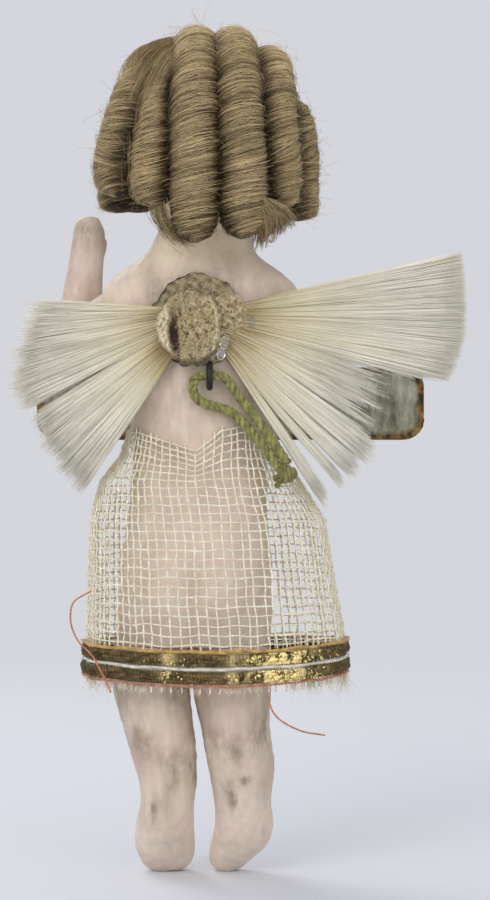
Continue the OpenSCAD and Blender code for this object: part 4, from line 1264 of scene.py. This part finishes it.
def pad_height(at, r):
    x, z = at[..., 0], at[..., 2]
    fibres = ripple(at * (1, 1, 0.5), 0.42, 61, 16)
    crumbs = ripple(at, 0.24, 63, 18)
    lumps = 0.26 * ripple(at, 1.8, 62) + 0.09 * fibres + 0.11 * crumbs
    pits = step(1.1, 2.0, ripple(at, 0.8, 64, 14)) + 0.8 * step(0.9, 1.7, ripple(at, 0.3, 65, 18))
    crevice = bell(x - 2.3 - 0.09 * (z + 1.2) + 0.04 * (z + 1.2) ** 2, 0.62) * bell(z + 1.3, 2.7)
    crust = step(2.75, 3.2, x + 0.03 * z**2) * (1 - step(2.2, 3.6, z))
    ridge = bell(x + 3.75 - 0.06 * z**2, 0.22) * step(-4.2, -2.5, z)
    side, rim = 1 - step(0.9, 1.0, r), step(0.95, 1.0, r)
    y = PAD_H * side + (lumps + 0.30 * crust + 0.30 * ridge) * (1 - rim)
    y = y - 1.15 * crevice - 0.3 * pits * side
    # Tint: cream crust and ridge; lighter where fibres and crumbs stand up; painted shade in the crevice,
    # the pits and round the rim.
    tint = 0.5 + 0.1 * fibres + 0.1 * crumbs + 0.30 * crust + 0.34 * ridge
    return y, tint - 0.75 * crevice - 0.28 * pits - 0.3 * rim


def lobe_height(at, r):
    lumps = 0.22 * ripple(at, 0.5, 66, 14) + 0.16 * ripple(at, 0.25, 67, 14)
    pits = step(0.8, 1.6, ripple(at, 0.4, 68, 14))
    ragged = r + 0.14 * ripple(at, 0.9, 58)
    y = 0.55 * (1 - step(0.5, 1.0, ragged)) + lumps * (1 - step(0.7, 1, ragged)) - 0.2 * pits
    # Tint lighter where the lobe stands up, with painted shade in its pits.
    return y, 0.6 + 0.6 * lumps - 0.3 * pits


def disc_height(at, r):
    lumps = 0.13 * ripple(at, 0.6, 69, 12) + 0.08 * ripple(at, 0.28, 70, 12)
    y = 0.28 + lumps * (1 - step(0.96, 1, r)) + 0.10 * bell(r - 0.965, 0.02)
    # Tint lighter where the crust stands up, with a painted shadow along the edge, heaviest on the +x side.
    return y, 0.36 + 0.8 * lumps - (0.08 + 0.28 * step(0, 3, at[..., 0])) * step(0.955, 0.985, r)


def pad_fibres():
    """Fibres of wadding that lie on the pad, but not over its crevice."""
    rng = np.random.default_rng(60)
    tries = 320
    turn = rng.uniform(0, TURN, tries)
    far = rng.uniform(0.5, 1.12, tries)
    start = PAD + xyz(4.7 * far * np.cos(turn) - 1.2, PAD_H * (far < 0.95), 5 * far * np.sin(turn))
    crevice = np.hypot((start[:, 0] - PAD[0] - 2.1) / 1.9, (start[:, 2] - PAD[2] + 1.3) / 3.6) < 1
    start = start[~crevice]
    n = len(start)
    t = np.linspace(0, 1, 8)[None, :, None]
    flat = np.array([1, 0.15, 1])
    go, curve = flat * rng.normal(0, 0.8, (n, 1, 3)), flat * rng.normal(0, 0.4, (n, 1, 3))
    paths = start[:, None] + go * t + curve * t**2 + (0, 0.12, 0) * arch(t)
    return strands(paths, 0.026, np.full(n, 0.85))


def bead(at, half):
    a = circle(20)
    t = np.linspace(-0.98, 0.98, 14)[:, None]
    r = np.sqrt(1 - t**2)
    return loft(at + xyz(r * np.cos(a), r * np.sin(a), t) * half)


# Clear drops of glue: rows of place and half sizes
DROPS = [
    ((-3.5, 9.6, 75.9), (0.75, 0.6, 0.95)),
    ((-3.0, 9.9, 74.3), (0.6, 0.5, 0.9)),
    ((-7.3, 8.6, 78.8), (0.4, 0.25, 0.8)),
    ((-10, 12.3, 90.2), (0.45, 0.45, 0.6)),
]


def hub():
    pad = mound(pad_height, PAD, half=(4.8, 5.25), floor=ROOT_Y + 0.3)
    tinted("pad", [pad], GLUE, "glue", replaces="glue_pad")
    disc = mound(disc_height, (HUB[0], ROOT_Y - 0.3, HUB[2]), half=(6.6, 6.6), floor=HUB[1])
    tinted("disc", [disc], CRUST, "card", replaces="wing_disc")
    place = (-4.0, ROOT_Y + ROOT_T, 79.8)
    lobe = mound(lobe_height, place, half=(2.7, 3.2), floor=ROOT_Y + 0.5, inner=40, count=160)
    tinted("root_glue", [lobe, pad_fibres()], GLUE, "glue")
    piece("glue_drops", joined([bead(*row) for row in DROPS]), CLEAR, "glue")


hub()


# Skirt: open gauze of real threads, with gold trim over its hem

SKIRT_Z, SKIRT_H, CLOTH_GAP = LEG_H + 30, 36.5, 0.35
# Half sizes at the waist and the hem, and how far the hem hangs to the right
WAIST_X, WAIST_Y = 0.515 * WAIST_W + CLOTH_GAP, 0.5 * WAIST_D + CLOTH_GAP
HEM_X, HEM_Y, SKIRT_X = 17.8, 12.0, -2.2
CLOTH_T, NAP_R = 0.5, 0.016
FOLDS, FOLD_AT, FOLD_DEEP = 11, math.radians(60), 0.7
# Rows of share down from the top edge, half width, half depth, middle in x and in y
SKIRT = np.array(
    [
        (0, WAIST_X, WAIST_Y, 0, -0.2),
        (0.08, WAIST_X + 1, WAIST_Y + 0.5, 0, -0.1),
        (0.18, mixed(WAIST_X, HEM_X, 0.5), mixed(WAIST_Y, HEM_Y, 0.42), 0, 0),
        (0.33, mixed(WAIST_X, HEM_X, 0.82), mixed(WAIST_Y, HEM_Y, 0.7), SKIRT_X * 0.45, 0.1),
        (0.64, mixed(WAIST_X, HEM_X, 0.94), mixed(WAIST_Y, HEM_Y, 0.9), SKIRT_X * 0.8, 0.2),
        (0.8, HEM_X, HEM_Y, SKIRT_X, 0.2),
        (1, HEM_X, HEM_Y, SKIRT_X, 0.2),
    ]
)
# How far the top edge is pulled up over the back: places in x, and lift
TOP_EDGE = (-12, -6, -3, 0.5, 4, 9, 13), (0.4, 1.3, 0.6, -2.2, -1.2, 0.4, 0)


def on_skirt(share, turn, out):
    """A place on the gauze: share down from its top, turn round its hem, and out from its inner face."""
    share, turn, out = np.broadcast_arrays(share, turn, out)
    w, d, mx, my = (np.interp(share, SKIRT[:, 0], column) for column in SKIRT.T[1:])
    tight = 1 - w / HEM_X
    flat = np.cos(turn)
    flat = np.clip(flat * (1 - tight * np.abs(flat)) / (1 - tight), -1, 1)
    a = np.arccos(flat) * np.where(np.sin(turn) < 0, -1, 1)
    o = out + FOLD_DEEP * share * (1 + np.cos(FOLDS * a + FOLD_AT)) / 2
    x = mx + (w + o) * np.cos(a)
    y = my + (d + o) * np.sin(a)
    top = np.interp(x, *TOP_EDGE) * (np.sin(a) > 0) * (1 - step(0, 0.22, share))
    hem = step(0.5, 0.85, share) * np.cos(a) ** 2 * np.where(np.cos(a) < 0, 1.0, 0.6)
    return xyz(x, y, SKIRT_Z - share * SKIRT_H + (top + hem))


def yarns(paths, size, pitch):
    """Two twisted plies along each of several paths."""
    far = np.array([distance(path) for path in paths])
    across, up = frames(paths)
    off = 0.45 * size[..., None] * swing(across, up, TURN * far / pitch)
    return joined([tubes(paths + off, 0.64 * size, 4), tubes(paths - off, 0.64 * size, 4)])


def slipped(share, turn):
    """How far the threads of the gauze have slipped from their places, in shares and in turns."""
    at = xyz(share * 36, 16 * np.cos(turn), 16 * np.sin(turn))
    return 0.003 * ripple(at, 2.4, 71), 0.006 * ripple(at, 3.0, 72)


def gauze():
    warps, wefts, weave = 84, 29, 0.08
    rows = (np.arange(wefts) / (wefts - 1)) ** 1.12 * 0.955
    turns = TURN * (np.arange(warps) + 0.5) / warps

    rng = np.random.default_rng(73)
    top = rng.uniform(-0.02, 0.012, (warps, 1))
    s = mixed(top, 0.985, np.linspace(0, 1, 130)[None])
    a = turns[:, None] + rng.normal(0, 0.008, (warps, 1))
    over = np.cos(math.pi * np.interp(s, rows, np.arange(wefts)) + math.pi * np.arange(warps)[:, None])
    warp = on_skirt(np.clip(s, 0, 1), a + slipped(s, a)[1], CLOTH_T / 2 + weave * over)
    warp[..., 2] -= np.minimum(s, 0) * SKIRT_H
    warp_size = 0.125 + 0.03 * rng.random((warps, 1)) + 0.02 * ripple(warp, 1.0, 76)

    a = np.linspace(0, TURN, 5 * warps + 1)[None]
    s = rows[:, None]
    over = -np.cos(math.pi * (a / TURN * warps - 0.5) + math.pi * np.arange(wefts)[:, None])
    weft = on_skirt(np.clip(s + slipped(s, a)[0], 0, 1), a, CLOTH_T / 2 + weave * over)
    weft_size = 0.105 + 0.03 * rng.random((wefts, 1)) + 0.02 * ripple(weft, 1.0, 77)

    mesh = joined([yarns(warp, warp_size, pitch=1.5), yarns(weft, weft_size, pitch=1.4)])
    tint = np.clip(0.62 + 0.3 * ripple(mesh[0], 0.9, 74), 0, 1)
    cloth = piece("gauze", mesh, GAUZE, "gauze", replaces="skirt", tint=tint)
    naps = []
    for k, line in enumerate([*warp, *weft]):
        count = int(0.64 * len(line))
        naps.append(fuzz(line, size=0.2, count=count, reach=0.45, seed=300 + k, thick=NAP_R))
    return cloth, piece("gauze_fuzz", joined(naps), GAUZE, "gauze", tint=0.8)


# Heights of the trim above the bottom of the skirt, and its way out from the gauze
BOTTOM_THREAD, LOWER_BAND, MIDDLE, UPPER_BAND, TOP_THREAD = 1.65, 1.96, 4.02, 4.38, 6.39
BAND_H, BAND_T, BAND_RIBS = 1.7, 0.34, 230
NEAR = CLOTH_T + 0.06
# Rows of name, height, size, material, slot, plies, pitch, solid that it replaces, seed
THREADS = [
    ("middle_thread", MIDDLE, 0.46, WHITE, "white_thread", 3, 1.3, "trim_middle_cord", 83),
    ("top_thread", TOP_THREAD, 0.5, OCHRE, "ochre_thread", 3, 1.1, "trim_top_thread", 84),
    ("bottom_thread", BOTTOM_THREAD, 0.36, RED, "red_thread", 2, 1.0, "trim_bottom_thread", 85),
]
# Bright leaf left on the bands: rows of middle in degrees round the skirt, half width, strength
LEAF = [(120, 0.26, 1), (70, 0.05, 0.5), (97, 0.03, 0.35)]


def at_hem(height, turn, out):
    return on_skirt(1 - height / SKIRT_H, turn, out)


def hem_band(name, low, seed):
    """A band of metal braid with fine ribs, and dents from wear."""
    a = np.linspace(0, TURN, 1500, endpoint=False)
    up = np.linspace(0, 1, 15)
    rings = []
    for t in up:
        at = at_hem(low + BAND_H * t, a, NEAR + BAND_T)
        ribs = 0.05 * np.sin(a * BAND_RIBS + 4 * t) + 0.03 * np.sin(TURN * 3.5 * t)
        ribs = ribs + 0.09 * ripple(at, 0.6, seed)
        rings.append(at + outward(a) * (ribs * arch(t) ** 0.3 + 0.12 * arch(t))[:, None])
    rings += [at_hem(low + BAND_H * t, a, NEAR) for t in up[::-1]]
    m, n = len(rings), len(a)
    faces = grid(m + 1, n)[:, ::-1] % (m * n)
    bright = sum(strength * bell(a - np.radians(at), wide) for at, wide, strength in LEAF)
    mesh, gold = (np.concatenate(rings), [faces]), np.tile(bright, m)
    return piece(f"braid_{name}", mesh, BRAID, "gold_braid", replaces=f"trim_{name}", tint=gold)


def hem_thread(name, height, size, material, slot, count, pitch, node, seed):
    line = at_hem(height, np.linspace(0, TURN, 1400), NEAR + size / 2)
    line[:, 2] += 0.09 * ripple(line, 2.5, seed)
    mesh, tint = plies(line, size, count, pitch, sides=5)
    shade = np.clip(tint + 0.25 * ripple(mesh[0], 0.8, seed), 0, 1)
    thread = piece(name, mesh, material, slot, replaces=node, tint=shade)
    hairs = fuzz(line, size, count=700, reach=0.4, seed=seed, thick=NAP_R)
    return [thread, piece(f"{name}_fuzz", hairs, material, slot, tint=0.8)]


def flakes():
    """Bright flakes of metal left on the braid, all round and in two patches."""
    rng = np.random.default_rng(91)
    counts, sizes = (60, 100, 20), (0.16, 0.34, 0.24)
    loose = rng.uniform(0.0, TURN, counts[0])
    patches = [rng.normal(122, 12, counts[1]), rng.normal(72, 3, counts[2])]
    turn = np.concatenate([loose, *map(np.radians, patches)])
    n = len(turn)
    height = np.where(rng.random(n) < 0.5, LOWER_BAND, UPPER_BAND) + rng.uniform(0.1, BAND_H - 0.1, n)
    at = at_hem(height, turn, NEAR + rng.uniform(0.42, 0.56, n))
    out = unit(outward(turn) + rng.normal(0, 0.25, (n, 3)))
    one = unit(np.cross(out, rng.normal(size=(n, 3))))
    two = np.cross(out, one)
    size = np.repeat(sizes, counts)[:, None] * rng.uniform(0.35, 1, (n, 1))
    corners = [at + size * (i * one + j * two * 0.8) for i, j in ((-1, -1), (1, -1), (1, 1), (-1, 1))]
    top = [c + out * 0.02 for c in corners]
    p = np.stack(corners + top, 1).reshape(-1, 3)
    box = np.array([(3, 2, 1, 0), (4, 5, 6, 7), (0, 1, 5, 4), (1, 2, 6, 5), (2, 3, 7, 6), (3, 0, 4, 7)])
    f = (np.arange(n)[:, None, None] * 8 + box).reshape(-1, 4)
    return piece("braid_flakes", (p, [f]), FLAKE, "gold_braid")


def fringe():
    """Frayed ends of the gauze below the trim, in tufts."""
    rng = np.random.default_rng(95)
    n, tufts = 1100, 70
    tuft = rng.uniform(0, TURN, tufts)
    held = rng.random(n) < 0.85
    turn = np.where(held, tuft[rng.integers(0, tufts, n)] + rng.normal(0, 0.02, n), rng.uniform(0, TURN, n))
    t = np.linspace(0, 1, 7)[None, :, None]
    top = at_hem(rng.uniform(1.0, 1.7, n), turn, CLOTH_T / 2 + rng.uniform(-0.2, 0.5, n))
    reach = rng.uniform(0.4, 1.3, n) * (1 + 0.9 * step(0.55, 0.95, np.abs(np.cos(turn))))
    away = 0.2 * outward(turn) + (0, 0, -1) + rng.normal(0, 0.22, (n, 3))
    bend = rng.normal(0, 0.45, (n, 3))
    paths = top[:, None] + reach[:, None, None] * (unit(away)[:, None] * t + bend[:, None] * t**2)
    made = strands(paths, 0.034 * (1.15 - t[..., 0]), rng.uniform(0.5, 1, n))
    return tinted("hem_fringe", [made], GAUZE, "gauze")


# Two orange ends that have come out of the hem
LEFT_END = [
    (15.4, 6.0, 41.0), (18.0, 5.2, 39.2), (18.3, 5.0, 36.4), (17.0, 5.6, 33.6), (15.4, 6.8, 32.2),
    (13.6, 8.6, 29.4), (12.4, 9.6, 27.0),
]
RIGHT_END = [(-9.4, 10.6, 26.6), (-10.4, 11.0, 24.2), (-13.8, 9.8, 21.8), (-17.6, 7.6, 20.8)]


def loose_threads():
    lines = [route(line, 120) for line in (LEFT_END, RIGHT_END)]
    made = [plies(line, size=0.3, count=2, pitch=0.9, sides=5) for line in lines]
    mesh = joined([m for m, _ in made])
    tint = np.clip(np.concatenate([t for _, t in made]) + 0.2 * ripple(mesh[0], 0.6, 97), 0, 1)
    return piece("loose_threads", mesh, RED, "red_thread", tint=tint)


cloth, nap = gauze()
trim = [nap, hem_band("lower_band", LOWER_BAND, seed=81), hem_band("upper_band", UPPER_BAND, seed=82)]
for row in THREADS:
    trim += hem_thread(*row)
trim += [flakes(), fringe(), loose_threads()]


# Banner: a bowed strip of aged paper, darker along its cut edge

BANNER = np.array([-4.2, -15.02, 67.8])
BANNER_LEN, BANNER_H, BANNER_T, BANNER_R, BOW_R = 57.0, 10.8, 0.5, 3.0, 70.69
# Steps in from the edge
INSET = np.array([0.0, 0.25, 0.5, 0.8, 1.1, 1.5, 2.0, 3.0, 4.0, 5.0, 5.34])


def even_round(edge):
    """A closed outline with its points at even spacing."""
    loop = np.concatenate([edge, edge[:1]])
    far = distance(loop)
    even = np.linspace(0, 1, len(edge))
    return np.stack([np.interp(even, far / far[-1], column) for column in loop.T], -1)


def banner():
    count = 720
    a = circle(count)
    half = np.array([BANNER_LEN / 2, BANNER_H / 2])
    way = np.stack([np.cos(a), np.sin(a)], -1)
    edge = even_round(np.sign(way) * (half - BANNER_R) + BANNER_R * way)
    flat = np.column_stack([edge, 0 * a])
    wobble = 0.10 * ripple(flat, 2.0, 41) + 0.05 * ripple(flat, 0.6, 42)
    rings = np.array([edge * (1 - (d + wobble * (d < 2) + 0.06)[:, None] / half) for d in INSET])
    x, z = rings[..., 0], rings[..., 1]
    back = BANNER[1] + BOW_R - np.sqrt(BOW_R**2 - x**2)
    near, far = (xyz(BANNER[0] + x, back - depth, BANNER[2] + z) for depth in (0, BANNER_T))
    both = np.concatenate([near[::-1], far])[:, ::-1]
    tint = np.repeat(np.concatenate([INSET[::-1], INSET]), count) / 5
    mesh = both.reshape(-1, 3), [grid(2 * len(INSET), count)]
    piece("paper_banner", mesh, PAPER, "paper", replaces="banner", tint=tint)


banner()
dress(GILT, "banner_border")


# Stage: a pale floor that fades into a pale world, and soft lights, in metres

PALE = (0.66, 0.67, 0.71, 1)
FLOOR_Z, FLOOR_HALF = -0.0713, 2
AIM = Vector((0, 0, -0.01))


def floor():
    mesh = bpy.data.meshes.new("floor")
    corners = [(FLOOR_HALF * i, FLOOR_HALF * j, FLOOR_Z) for i, j in ((-1, -1), (1, -1), (1, 1), (-1, 1))]
    mesh.from_pydata(corners, [], [(0, 1, 2, 3)])
    p = Paint("floor", base_color=PALE, roughness=0.9)
    far = p.node("ShaderNodeVectorMath", {0: p.where}, operation="LENGTH").outputs["Value"]
    ends = {"Value": far, "From Min": 0.10, "From Max": 0.45}
    fade = p.node("ShaderNodeMapRange", ends, interpolation_type="SMOOTHSTEP").outputs[0]
    clear = p.node("ShaderNodeBsdfTransparent").outputs[0]
    mix = p.node("ShaderNodeMixShader", {0: fade, 1: p.shader.outputs[0], 2: clear})
    p.show(mix.outputs[0], "Material Output")
    mesh.materials.append(p.material)
    linked("floor", mesh)


def sky():
    """Soft light from all round, with the pale colour where the camera or a mirror looks into it."""
    world = bpy.data.worlds.new("world")
    bpy.context.scene.world = world
    world.use_nodes = True
    w = Nodes(world.node_tree)
    soft = w.tree.nodes["Background"]
    soft.inputs["Color"].default_value = (0.93, 0.95, 1.0, 1)
    soft.inputs["Strength"].default_value = 0.7
    shown = w.node("ShaderNodeBackground", {"Color": PALE})
    path = w.node("ShaderNodeLightPath").outputs
    seen = w.math("MAXIMUM", path["Is Camera Ray"], path["Is Transmission Ray"])
    seen = w.math("MAXIMUM", seen, path["Is Glossy Ray"])
    mix = w.node("ShaderNodeMixShader", {0: seen, 1: soft.outputs[0], 2: shown.outputs[0]})
    w.show(mix.outputs[0], "World Output")


def lamp(name, at, size, power):
    light = bpy.data.lights.new(name, "AREA")
    light.size = size
    light.energy = power
    obj = linked(name, light)
    obj.location = at
    obj.rotation_euler = (AIM - Vector(at)).to_track_quat("-Z", "Y").to_euler()


floor()
sky()
lamp("key_back", at=(0.32, 0.62, 0.36), size=0.45, power=2.3)
lamp("fill_back", at=(-0.3, 0.7, 0.02), size=0.7, power=1.85)
lamp("key_front", at=(0.4, -0.6, 0.5), size=0.5, power=3.0)
bpy.context.scene.view_settings.view_transform = "Standard"
